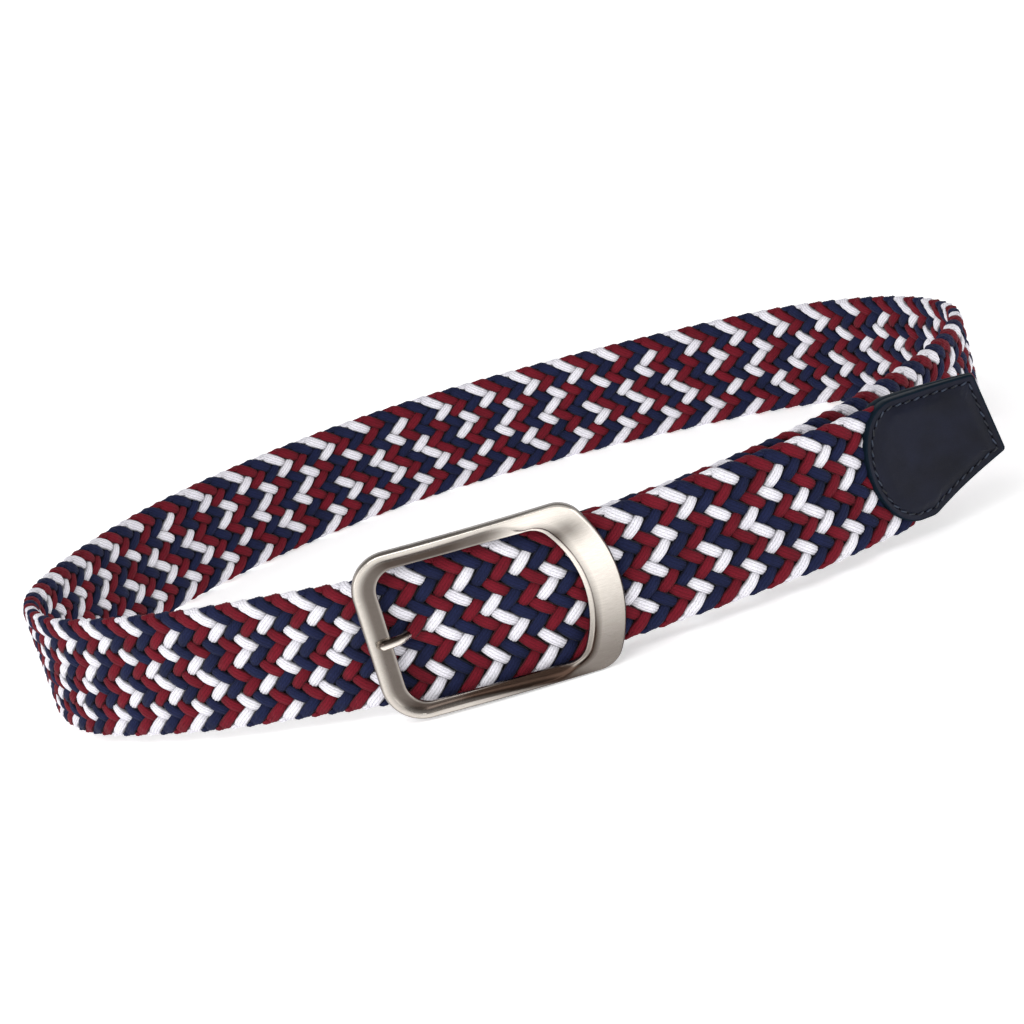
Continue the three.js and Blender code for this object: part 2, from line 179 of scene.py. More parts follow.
class Finish:
    """A node material in the making, with short ways to the nodes that come up again and again.

    Noise and wave scales are numbers of features to the metre, because object coordinates are metres.
    """

    def __init__(self, name: str) -> None:
        """Starts without any nodes but the object coordinates.

        Args:
            name: what the finish really is.
        """
        self.material = bpy.data.materials.new(name)
        self.material.use_nodes = True
        self.tree = self.material.node_tree
        self.tree.nodes.clear()
        self.place = add_node(self.tree, "ShaderNodeTexCoord").outputs["Object"]

    def math(self, operation: str, *values: Value, clamp: bool = False) -> bpy.types.NodeSocket:
        """Computes one step.

        Args:
            operation: Blender's name for it, such as "MULTIPLY_ADD".
            values: what it takes, in order.
            clamp: whether the result is kept between 0 and 1.

        Returns:
            The result.
        """
        settings = {"operation": operation, "use_clamp": clamp}
        return add_node(self.tree, "ShaderNodeMath", settings, dict(enumerate(values))).outputs[0]

    def mapped(
        self, value: Value, low: float, high: float, start: float, end: float, soft: bool = False
    ) -> bpy.types.NodeSocket:
        """Maps a range to another, and holds its ends beyond it.

        Args:
            value: the number that is mapped.
            low: what becomes start.
            high: what becomes end.
            start: the result at low.
            end: the result at high.
            soft: whether it leaves and arrives smoothly.

        Returns:
            The result.
        """
        settings = {"interpolation_type": "SMOOTHSTEP" if soft else "LINEAR"}
        inputs = {0: value, 1: low, 2: high, 3: start, 4: end}
        return add_node(self.tree, "ShaderNodeMapRange", settings, inputs).outputs[0]

    def noise(self, scale: float, detail: float, roughness: float = 0.5) -> bpy.types.NodeSocket:
        """Makes noise in object coordinates.

        Args:
            scale: blotches to the metre.
            detail: octaves of finer noise.
            roughness: how strong those are.

        Returns:
            The noise, from 0 to 1.
        """
        inputs = {"Vector": self.place, "Scale": scale, "Detail": detail, "Roughness": roughness}
        return add_node(self.tree, "ShaderNodeTexNoise", {}, inputs).outputs[0]

    def blend(self, share: Value, start: Value, end: Value) -> bpy.types.NodeSocket:
        """Blends two colours.

        Args:
            share: how much of the second.
            start: the first, as a colour or as sRGB hex.
            end: the second, likewise.

        Returns:
            The blend.
        """
        colours = [linear(colour) if isinstance(colour, str) else colour for colour in (start, end)]
        inputs = {0: share, 6: colours[0], 7: colours[1]}
        return add_node(self.tree, "ShaderNodeMix", {"data_type": "RGBA"}, inputs).outputs[2]

    def mesh_map(self, name: str) -> tuple[bpy.types.NodeSocket, bpy.types.NodeSocket]:
        """Reads one of the mesh's maps.

        Args:
            name: the map's name.

        Returns:
            Its two numbers.
        """
        read = add_node(self.tree, "ShaderNodeUVMap", {"uv_map": name})
        parts = add_node(self.tree, "ShaderNodeSeparateXYZ", {}, {0: read.outputs[0]})
        return parts.outputs[0], parts.outputs[1]

    def close(
        self, shader: dict[str, object], height: Optional[bpy.types.NodeSocket] = None,
        strength: float = 0.0, relief: float = 0.0,
    ) -> bpy.types.Material:
        """Ends the material with its Principled shader and its output.

        Args:
            shader: values or sockets for the Principled shader's inputs.
            height: the relief of the surface, if it has one.
            strength: how strongly that shows.
            relief: its depth in metres.

        Returns:
            The material.
        """
        if height is not None:
            inputs = {"Height": height, "Strength": strength, "Distance": relief}
            bump = add_node(self.tree, "ShaderNodeBump", {}, inputs)
            shader = {**shader, "Normal": bump.outputs[0]}
        principled = add_node(self.tree, "ShaderNodeBsdfPrincipled", {}, shader)
        add_node(self.tree, "ShaderNodeOutputMaterial", {}, {"Surface": principled.outputs[0]})
        return self.material


@dataclass(frozen=True)
class BraidedYarn:
    """Braided polyester yarn laid flat, four fine cords side by side.

    Matt and slightly hairy: a soft sheen at grazing angles and a slanting twist along each cord.
    Painted shade darkens the lines between the cords, a strand's two edges and where it dives.
    """

    name: str
    colour: str
    shade: str
    roughness: float = 0.86
    sheen: float = 0.04
    cords: int = 8  # round the strand, four to a face
    twist: float = 0.9  # mm, one turn of a cord's ply; the real one is finer and would not show
    patches: float = 160.0  # patches of dye and wear to the metre
    fibres: float = 2600.0  # fibres to the metre
    rim_shade: float = 0.6  # how dark the painted shade makes a strand's two edges, against its neighbours
    dive_shade: float = 0.75  # how dark the painted shade makes it where it dives under the next

    def build(self) -> bpy.types.Material:
        """Builds the material.

        Returns:
            The material. It reads the mesh's "cord" map (once round the strand, and its millimetres)
            and its "lie" map, the masks of its painted shade (1 away from the strap's edges, and 1 where
            the strand dives).
        """
        finish = Finish(self.name)
        across, along = finish.mesh_map("cord")
        # The cosine is 1 or -1 in each groove between two cords, where the colour gets painted shade.
        wave = finish.math("COSINE", finish.math("MULTIPLY", across, self.cords * math.pi))
        groove = finish.mapped(finish.math("ABSOLUTE", wave), 0.72, 1.0, 0.0, 1.0, soft=True)
        slant = finish.math("MULTIPLY", across, 2 * self.cords * math.pi)
        ply = finish.math("SINE", finish.math("MULTIPLY_ADD", along, 2 * math.pi / self.twist, slant))
        patches = finish.noise(self.patches, 2.0)
        fibres = finish.noise(self.fibres, 3.0, 0.6)
        dyed = finish.blend(finish.mapped(patches, 0.35, 0.75, 0.0, 0.55), self.colour, self.shade)
        uneven_tone = finish.mapped(fibres, 0.3, 0.7, 0.8, 1.14)
        ridged = finish.math("MULTIPLY_ADD", groove, -0.22, uneven_tone)
        plied = finish.math("MULTIPLY_ADD", ply, 0.05, ridged)
        # Painted shade at a strand's edges, against its neighbours, and where it dives under the next.
        inside, dive_shading = finish.mesh_map("lie")
        rim = finish.math("COSINE", finish.math("MULTIPLY", across, 4 * math.pi))
        rim_shading = finish.mapped(rim, 0.5, 1.0, 0.0, self.rim_shade, soft=True)
        sides = finish.math("MULTIPLY", rim_shading, inside)
        shaded = finish.math("MULTIPLY_ADD", dive_shading, self.dive_shade, sides, clamp=True)
        shown = finish.math("MULTIPLY", plied, finish.math("SUBTRACT", 1.0, shaded))
        lit = add_node(finish.tree, "ShaderNodeVectorMath", {"operation": "SCALE"}, {0: dyed, 3: shown})
        raised = finish.math("MULTIPLY_ADD", ply, 0.35, fibres)
        shader = {
            "Base Color": lit.outputs[0],
            "Roughness": self.roughness,
            "Specular IOR Level": 0.16,
            "Sheen Weight": self.sheen,
            "Sheen Roughness": 0.45,
        }
        return finish.close(shader, finish.math("MULTIPLY_ADD", groove, -1.2, raised), 0.55, 0.00012)


@dataclass(frozen=True)
class RubberCoreAsShade:
    """Covered rubber threads that run lengthwise inside the braid and give it its stretch.

    Matt black as painted shade: it is seen only in the gaps between strands, and its black stands for
    their shade.
    """

    name: str = "covered rubber core"
    colour: str = "#0E0F16"
    shade: str = "#07080D"
    rib: float = 5.0265  # mm, a bundle of covered threads

    def build(self) -> bpy.types.Material:
        """Builds the material.

        Returns:
            The material, with the threads as fine level ribs.
        """
        finish = Finish(self.name)
        inputs = {"Vector": finish.place, "Scale": wave_scale(self.rib, LEVEL_WAVE)}
        ribs = add_node(finish.tree, "ShaderNodeTexWave", {"bands_direction": "Z"}, inputs).outputs[1]
        shader = {"Base Color": finish.blend(ribs, self.shade, self.colour), "Roughness": 0.92}
        return finish.close(shader, ribs, 0.5, 0.0003)


@dataclass(frozen=True)
class SatinNickel:
    """Nickel-plated zinc, brushed lengthwise and lacquered.

    A warm grey metal: fine level brush lines, broad soft reflections, and a darker tone painted
    in its hollows, on its edges and towards its foot, as painted shade and reflection.
    """

    name: str = "satin nickel plate"
    colour: str = "#F9F2E9"
    shade: str = "#EBE3D9"
    # The darker colour painted in the hollows and on the edges, as shade and reflection.
    hollow: str = "#382B24"
    roughness: float = 0.25
    line: float = 0.22  # mm, width of a brush line; the real ones are near 0.05 and would not show
    stroke: float = 9.0  # mm, length of a brush line
    clouds: float = 90.0  # clouds of wear to the metre

    def build(self) -> bpy.types.Material:
        """Builds the material.

        Returns:
            The material, brushed along X. It reads the mesh's "polish" map (1 in the hollows).
        """
        finish = Finish(self.name)
        brush = (1000 / self.stroke, 1000 / self.line, 1000 / self.line)
        drawn = add_node(finish.tree, "ShaderNodeMapping", {}, {0: finish.place, 3: brush})
        inputs = {"Vector": drawn.outputs[0], "Scale": 1.0, "Detail": 3.0, "Roughness": 0.6}
        lines = add_node(finish.tree, "ShaderNodeTexNoise", {}, inputs).outputs[0]
        brushed = finish.blend(finish.mapped(lines, 0.3, 0.7, 0.0, 1.0), self.shade, self.colour)
        shade_share, _ = finish.mesh_map("painted_shade")
        low, high = self.roughness - 0.04, self.roughness + 0.06
        shader = {
            "Base Color": finish.blend(shade_share, brushed, self.hollow),
            "Metallic": 1.0,
            "Roughness": finish.mapped(finish.noise(self.clouds, 2.0), 0.3, 0.7, low, high),
            "Anisotropic": 0.45,
        }
        return finish.close(shader, lines, 0.1, 0.00005)


@dataclass(frozen=True)
class CalfLeather:
    """Dyed calf leather, smooth and lightly waxed.

    Near black with a navy cast: a fine pebble grain, soft clouds of wax and a low satin gloss.
    """

    name: str = "navy calf leather"
    colour: str = "#101427"
    shade: str = "#060917"
    roughness: float = 0.36
    grain: float = 0.55  # mm, one pebble of the grain
    pores: float = 3500.0  # pores to the metre
    clouds: float = 75.0  # clouds of wax to the metre

    def build(self) -> bpy.types.Material:
        """Builds the material.

        Returns:
            The material.
        """
        finish = Finish(self.name)
        inputs = {"Vector": finish.place, "Scale": 1000 / self.grain}
        edges = add_node(finish.tree, "ShaderNodeTexVoronoi", {"feature": "DISTANCE_TO_EDGE"}, inputs)
        pebbles = finish.mapped(edges.outputs[0], 0.0, 0.22, 0.0, 1.0)
        clouds = finish.noise(self.clouds, 3.0, 0.55)
        waxing = finish.mapped(clouds, 0.32, 0.68, 0.0, 1.0)
        waxed, bare = self.roughness - 0.06, self.roughness + 0.08
        shader = {
            "Base Color": finish.blend(waxing, self.shade, self.colour),
            "Roughness": finish.mapped(clouds, 0.3, 0.7, bare, waxed),
            "Specular IOR Level": 0.19,
        }
        height = finish.math("MULTIPLY_ADD", finish.noise(self.pores, 2.0), 0.35, pebbles)
        return finish.close(shader, height, 0.4, 0.00005)


@dataclass(frozen=True)
class PlainFinish:
    """A matt finish of two tones in fine blotches, with a relief that follows them."""

    name: str
    colour: str
    shade: str
    roughness: float
    specular: float
    blotches: float  # to the metre
    detail: float
    strength: float
    relief: float  # metres

    def build(self) -> bpy.types.Material:
        """Builds the material.

        Returns:
            The material.
        """
        finish = Finish(self.name)
        blotches = finish.noise(self.blotches, self.detail)
        shader = {
            "Base Color": finish.blend(blotches, self.shade, self.colour),
            "Roughness": self.roughness,
            "Specular IOR Level": self.specular,
        }
        return finish.close(shader, blotches, self.strength, self.relief)


# Leather edge dye built up in coats and rubbed down: matt, with a blue-green cast.
EDGE_DYE = PlainFinish(
    "burnished edge dye", "#0F1D28", "#0B1620", 0.55, 0.04, 700.0, 3.0, 0.35, 0.00012
)
# Painted shade of the slits that an awl makes for the thread: a near-black oval over each.
AWL_HOLE_SHADE = PlainFinish(
    "painted shade of the awl slits", "#06070C", "#020204", 0.95, 0.05, 4000.0, 2.0, 0.6, 0.0001
)


@dataclass(frozen=True)
class WaxedThread:
    """Waxed polyester sewing thread.

    Navy grey, a little duller than the leather, with slanting darker stretches.
    """

    name: str = "waxed sewing thread"
    colour: str = "#2B3648"
    shade: str = "#0B0F17"
    band: float = 3.6276  # mm, from one darker stretch to the next

    def build(self) -> bpy.types.Material:
        """Builds the material.

        Returns:
            The material.
        """
        finish = Finish(self.name)
        scale = wave_scale(self.band, DIAGONAL_WAVE)
        inputs = {"Vector": finish.place, "Scale": scale, "Distortion": 1.5}
        waves = add_node(finish.tree, "ShaderNodeTexWave", {"bands_direction": "DIAGONAL"}, inputs)
        ply = waves.outputs[1]
        shader = {"Base Color": finish.blend(ply, self.shade, self.colour), "Roughness": 0.5}
        return finish.close(shader, ply, 0.5, 0.00008)


@dataclass(frozen=True)
class PaperSweep:
    """Matt white background paper, lit from below as well, as for a cut-out picture."""

    name: str = "matt white paper"
    colour: str = "#FBFBFB"
    shade: str = "#F7F7F7"
    mottle: float = 6.0  # spots to the metre
    glow: float = 0.45

    def build(self) -> bpy.types.Material:
        """Builds the material.

        Returns:
            The material, with a faint mottle.
        """
        finish = Finish(self.name)
        shader = {
            "Base Color": finish.blend(finish.noise(self.mottle, 1.0), self.shade, self.colour),
            "Roughness": 0.9,
            "Emission Color": linear(WHITE),
            "Emission Strength": self.glow,
        }
        return finish.close(shader)


class Surface:
    """Collects lofted skins and makes one mesh object of them."""

    def __init__(self, maps: int = 1) -> None:
        """Starts empty.

        Args:
            maps: how many maps the mesh gets, two numbers a corner each.
        """
        self.channels = 2 * maps
        self.points: list[np.ndarray] = []
        self.faces: list[tuple[np.ndarray, np.ndarray, np.ndarray]] = []
        self.caps: list[tuple[list[int], int]] = []
        self.count = 0

    def loft(
        self,
        rings: np.ndarray,
        closed: bool = False,
        uv: Optional[np.ndarray] = None,
        finish: Optional[Sequence[int]] = None,
    ) -> None:
        """Adds a skin through rings of equal count.

        Args:
            rings: ring by ring, the points of each ring in order, in millimetres.
            closed: whether the last ring joins the first; an open run gets a face at each end.
            uv: the maps' numbers for each ring and each point of a ring, and one more for the seams.
            finish: the material number of each band between two rings.
        """
        count, size = rings.shape[:2]
        base = self.count
        self.points.append(rings.reshape(-1, 3))
        self.count += count * size
        bands = count if closed else count - 1
        row = np.arange(bands)[:, None]
        column = np.arange(size)[None, :]
        following = (row + 1) % count
        beside = (column + 1) % size
        here, there = base + row * size, base + following * size
        quads = np.stack([here + column, here + beside, there + beside, there + column], -1)
        if uv is None:
            corners = np.zeros((bands, size, 4, self.channels))
        else:
            corners = np.stack([uv[:-1, :-1], uv[:-1, 1:], uv[1:, 1:], uv[1:, :-1]], -2)
        numbers = np.zeros(bands, int) if finish is None else np.array(finish)
        self.faces.append(
            (quads.reshape(-1, 4), corners.reshape(-1, self.channels), np.repeat(numbers, size))
        )
        if not closed:
            self.caps.append(([base + i for i in reversed(range(size))], int(numbers[0])))
            self.caps.append(([base + (count - 1) * size + i for i in range(size)], int(numbers[-1])))

    def build(
        self, name: str, finishes: Sequence[bpy.types.Material], *map_names: str
    ) -> bpy.types.Object:
        """Makes the object.

        Args:
            name: the piece's name.
            finishes: its materials, in the order of their numbers.
            map_names: the names for the maps that the lofts gave, or nothing for none.

        Returns:
            The mesh object, smooth shaded, in metres in the frame.
        """
        points = (np.concatenate(self.points) + ORIGIN) / 1000
        quads = np.concatenate([quad for quad, _, _ in self.faces])
        corners = np.concatenate([corner for _, corner, _ in self.faces])
        caps = [np.array(cap) for cap, _ in self.caps]
        loops = np.concatenate([quads.reshape(-1), *caps]).astype(np.int32)
        sizes = np.concatenate([np.full(len(quads), 4), [len(cap) for cap in caps]]).astype(np.int32)
        starts = np.concatenate([[0], np.cumsum(sizes)[:-1]]).astype(np.int32)
        numbers = [*[number for _, _, number in self.faces], [number for _, number in self.caps]]
        mesh = bpy.data.meshes.new(name)
        mesh.vertices.add(len(points))
        mesh.vertices.foreach_set("co", points.astype(np.float32).ravel())
        mesh.loops.add(len(loops))
        mesh.loops.foreach_set("vertex_index", loops)
        mesh.polygons.add(len(sizes))
        mesh.polygons.foreach_set("loop_start", starts)
        mesh.polygons.foreach_set("material_index", np.concatenate(numbers).astype(np.int32))
        mesh.update(calc_edges=True)
        mesh.validate()
        for number, map_name in enumerate(map_names):
            layer = mesh.uv_layers.new(name=map_name)
            full = np.zeros((len(loops), 2), np.float32)
            full[: len(corners)] = corners[:, 2 * number : 2 * number + 2]
            layer.data.foreach_set("uv", full.ravel())
        mesh.shade_smooth()
        for finish in finishes:
            mesh.materials.append(finish)
        made = bpy.data.objects.new(name, mesh)
        bpy.context.scene.collection.objects.link(made)
        return made


def cut(piece: bpy.types.Object, cutter: bpy.types.Object) -> None:
    """Takes one solid away from another for good, and deletes the cutter.

    Args:
        piece: the object that is cut.
        cutter: the solid that is taken away.
    """
    modifier = piece.modifiers.new("cut", "BOOLEAN")
    modifier.operation, modifier.solver, modifier.object = "DIFFERENCE", "EXACT", cutter
    graph = bpy.context.evaluated_depsgraph_get()
    made = bpy.data.meshes.new_from_object(piece.evaluated_get(graph))
    piece.modifiers.clear()
    old, piece.data = piece.data, made
    made.name = piece.name
    bpy.data.meshes.remove(old)
    bpy.data.objects.remove(cutter)


def soften(piece: bpy.types.Object, degrees: float) -> None:
    """Shades a piece smooth, apart from edges sharper than the angle.

    Args:
        piece: the object.
        degrees: the sharpest edge that is still drawn soft.
    """
    piece.data.shade_smooth()
    piece.data.set_sharp_from_angle(angle=math.radians(degrees))


def rounded_section(
    width: float, low: float, high: float, radius: float, steps: int, flats: int = 0
) -> np.ndarray:
    """A rounded rectangle, with the width across and low to high up.

    Args:
        width: its size across, centred on 0.
        low: its lower side.
        high: its upper side.
        radius: of its corners.
        steps: segments in each corner.
        flats: extra points on each of its two long sides.

    Returns:
        Its points in order, as (across, up) pairs.
    """
    r = min(radius, 0.49 * width, 0.49 * (high - low))
    corners = (
        (width / 2 - r, low + r, -math.pi / 2),
        (width / 2 - r, high - r, 0.0),
        (-width / 2 + r, high - r, math.pi / 2),
        (-width / 2 + r, low + r, math.pi),
    )
    outline: list[tuple[float, float]] = []
    for number, (x, z, start) in enumerate(corners):
        for i in range(steps + 1):
            angle = start + math.pi / 2 * i / steps
            outline.append((x + r * math.cos(angle), z + r * math.sin(angle)))
        if flats and number in (0, 2):
            towards = corners[(number + 1) % 4]
            side = 1 if number == 0 else -1
            for i in range(1, flats + 1):
                share = i / (flats + 1)
                outline.append((x + side * r, z + (towards[1] - z) * share))
    return np.array(outline)


@dataclass(frozen=True)
class RoutePoint:
    """A place on the strap's run, as shares of the loop's width and depth.

    lean is how far the upper edge lies farther in than the lower, as a share of the height, and
    sink is how far the layer hangs below the rest, as a share of the thickness.
    """

    across: float
    away: float
    lean: float = 0.0
    sink: float = 0.0


# From the heel bar round the right end, the back and the left end, through the buckle to the tip.
RUN = (
    RoutePoint(0.169, 0.0604, 0.03, 0.2), RoutePoint(0.2931, 0.1403, 0, 0.05), RoutePoint(0.3931, 0.2601),
    RoutePoint(0.4621, 0.3853), RoutePoint(0.4966, 0.5273), RoutePoint(0.4621, 0.7093),
    RoutePoint(0.3621, 0.8624), RoutePoint(0.2241, 0.9414), RoutePoint(0.0655, 0.9911),
    RoutePoint(-0.1, 0.9956), RoutePoint(-0.2517, 0.9268), RoutePoint(-0.3897, 0.7825),
    RoutePoint(-0.4759, 0.5806), RoutePoint(-0.4966, 0.4163), RoutePoint(-0.4517, 0.2565),
    RoutePoint(-0.3345, 0.1269), RoutePoint(-0.2241, 0.0555), RoutePoint(-0.1414, 0.0124),
    RoutePoint(-0.0552, 0.0004), RoutePoint(0.0448, 0, 0.01), RoutePoint(0.1517, 0.024, 0.1),
    RoutePoint(0.2552, 0.0568, 0.11), RoutePoint(0.331, 0.0968, 0.07), RoutePoint(0.3828, 0.1101, 0.02),
    RoutePoint(0.4461, 0.1056),
)


def curve_through(points: np.ndarray, steps: int) -> np.ndarray:
    """A centripetal Catmull-Rom curve.

    Args:
        points: the points that it runs through.
        steps: samples between two of them.

    Returns:
        Its samples, with the last point.
    """
    ends = np.vstack([2 * points[0] - points[1], points, 2 * points[-1] - points[-2]])
    share = (np.arange(steps) / steps)[:, None]
    runs = []
    for p0, p1, p2, p3 in zip(ends[:-3], ends[1:-2], ends[2:-1], ends[3:]):
        d0, d1, d2 = (math.sqrt(np.linalg.norm(b - a)) for a, b in ((p0, p1), (p1, p2), (p2, p3)))
        leave = ((p1 - p0) / d0 - (p2 - p0) / (d0 + d1) + (p2 - p1) / d1) * d1
        enter = ((p2 - p1) / d1 - (p3 - p1) / (d1 + d2) + (p3 - p2) / d2) * d1
        runs.append(hermite(p1, p2, leave, enter, share))
    return np.vstack([*runs, points[-1:]])


@dataclass
class Strap:
    """The strap's size and its run in plan, from the heel bar to the point of the leather tip."""

    width: float = 290.0  # of the loop, between centre lines
    depth: float = 225.3
    height: float = 35.0
    thickness: float = 3.5
    seat: float = 4.3  # how high the buckle carries the lower edge
    heel_x: float = 10.5
    heel_y: float = 5.65
    heel_sink: float = 0.2
    tip_length: float = 27.2  # from the tip's seam to its point
    steps: int = 60
    buckled_from: float = 0.62  # the share of the run past which it goes through the buckle

    def __post_init__(self) -> None:
        """Samples the run."""
        first = [self.heel_x, self.heel_y]
        plan = np.array([first, *[[p.across * self.width, p.away * self.depth] for p in RUN]])
        self._plan = curve_through(plan, self.steps)
        self._along = run_along(self._plan)
        self._tangent = unit(np.gradient(self._plan, self._along, axis=0))
        row = np.arange(len(self._plan)) / self.steps
        rows = np.arange(len(RUN) + 1)
        self._lean = np.interp(row, rows, [0.0, *[p.lean for p in RUN]])
        self._sink = np.interp(row, rows, [self.heel_sink, *[p.sink for p in RUN]])
        self.length = float(self._along[-1])
        self.seam = self.length - self.tip_length

    def place(self, along: np.ndarray, inward: np.ndarray, up: np.ndarray) -> np.ndarray:
        """Places on the strap.

        Args:
            along: millimetres from the heel bar.
            inward: from its middle in towards the loop.
            up: above its lower edge.

        Returns:
            The points, in millimetres.
        """
        along, inward, up = np.broadcast_arrays(*(np.asarray(v, float) for v in (along, inward, up)))
        x, y = (np.interp(along, self._along, self._plan[:, i]) for i in (0, 1))
        tx, ty = (np.interp(along, self._along, self._tangent[:, i]) for i in (0, 1))
        past = along - np.clip(along, 0, self.length)
        across = inward + np.interp(along, self._along, self._lean) * (up - self.height / 2)
        lift = self.seat * np.clip(1 - y / self.depth, 0, 1)
        drop = np.interp(along, self._along, self._sink) * self.thickness
        x, y = x - ty * across + tx * past, y + tx * across + ty * past
        return np.stack([x, y, lift - drop + up], -1)

    def along_at(self, x: float) -> float:
        """Where the part of the strap in the buckle passes x, as millimetres along."""
        run = slice(int(self.buckled_from * len(self._along)), None)
        return float(np.interp(x, self._plan[run, 0], self._along[run]))

    def centre_y(self, along: np.ndarray) -> np.ndarray:
        """The middle of the strap, as y."""
        return np.interp(along, self._along, self._plan[:, 1])


@dataclass
class Prong:
    """The buckle's prong: an eye round the heel bar and a rod through the braid onto the left bar."""

    strap: Strap
    radius: float = 1.25
    eye_inside: float = 2.2
    eye_outside: float = 3.5
    eye_height: float = 3.4
    height: float = 22.7
    sides: int = 28
    notch_room: float = 0.75  # how much thicker than the rod the notch in the left bar is
    # The rod's axis past the eye, as (x, y): behind the strap, through it and onto the left bar.
    axis: tuple[tuple[float, float], ...] = (
        (-24.9, 3.3), (-29.2, 2.6), (-33.6, 0.0), (-37.6, -4.1), (-41.7, -5.15),
    )

    def curve(self) -> np.ndarray:
        """Samples the rod's axis, from the eye to the tip.

        Returns:
            Its points.
        """
        heel_x, heel_y = self.strap.heel_x, self.strap.heel_y
        plan = np.array([(heel_x - 2.85, heel_y), (heel_x - 7.85, 3.6), *self.axis])
        run = curve_through(plan, 14)
        return np.column_stack([run, np.full(len(run), self.height)])

    def rod(self, surface: Surface, grow: float = 0.0) -> None:
        """Adds the rod to a surface.

        Args:
            surface: where it goes.
            grow: how much thicker than the rod it is.
        """
        axis = self.curve()
        tangent = unit(np.gradient(axis, axis=0))
        level = unit(np.cross(tangent, [0, 0, 1.0]))
        over = np.cross(level, tangent)
        radius = self.radius + grow
        run = run_along(axis)
        # The last stretch swells a little, and the end is a round cap.
        radii = radius * (1 + 0.08 * smoothstep(run, run[-1] - 7, run[-1] - 3))
        turn = np.linspace(0, 2 * math.pi, self.sides, endpoint=False)[None, :, None]
        circles = np.cos(turn) * level[:, None] + np.sin(turn) * over[:, None]
        rings = [axis[:, None] + radii[:, None, None] * circles]
        for angle in np.linspace(0, 1.5, 9)[1:]:
            middle = axis[-1] + tangent[-1] * (radii[-1] * 0.9 * math.sin(angle))
            rings.append(middle + radii[-1] * math.cos(angle) * circles[-1:])
        # Painted shade on the rod's upper front side, and all over a notch cut with it.
        share = np.arange(self.sides + 1) / self.sides
        upper_shade = smoothstep(share, 0.24, 0.3) * (1 - smoothstep(share, 0.44, 0.53))
        shade_share = 0.97 * upper_shade if grow == 0 else np.ones(self.sides + 1)
        skin = np.concatenate([part.reshape(-1, self.sides, 3) for part in rings])
        uv = np.stack(np.broadcast_arrays(shade_share[None, :], np.arange(float(len(skin)))[:, None]), -1)
        surface.loft(skin, uv=uv)

    def build(self, finish: bpy.types.Material) -> bpy.types.Object:
        """Builds the prong.

        Args:
            finish: its metal.

        Returns:
            The piece.
        """
        surface = Surface()
        self.rod(surface)
        wall = self.eye_outside - self.eye_inside
        section = rounded_section(wall, -self.eye_height / 2, self.eye_height / 2, 0.4, 4)
        turn = np.linspace(0, 2 * math.pi, 40, endpoint=False)[:, None]
        reach = self.eye_inside + wall / 2 + section[None, :, 0]
        x = self.strap.heel_x + reach * np.cos(turn)
        y = self.strap.heel_y + reach * np.sin(turn)
        z = self.height + section[None, :, 1]
        surface.loft(np.stack(np.broadcast_arrays(x, y, z), -1), closed=True)
        made = surface.build("buckle_prong", [finish], "painted_shade")
        soften(made, 45)
        return made


@dataclass(frozen=True)
class YarnGroup:
    """The strands of one colour."""

    name: str
    letter: str
    finish: BraidedYarn


YARNS = (
    YarnGroup("braid_white", "W", BraidedYarn("white braided yarn", "#F4F2F9", "#E1DEE9", 0.85, 0.03)),
    YarnGroup("braid_red", "R", BraidedYarn("red braided yarn", "#731424", "#510C18")),
    YarnGroup("braid_navy", "N", BraidedYarn("navy braided yarn", "#1B2143", "#11162E")),
)


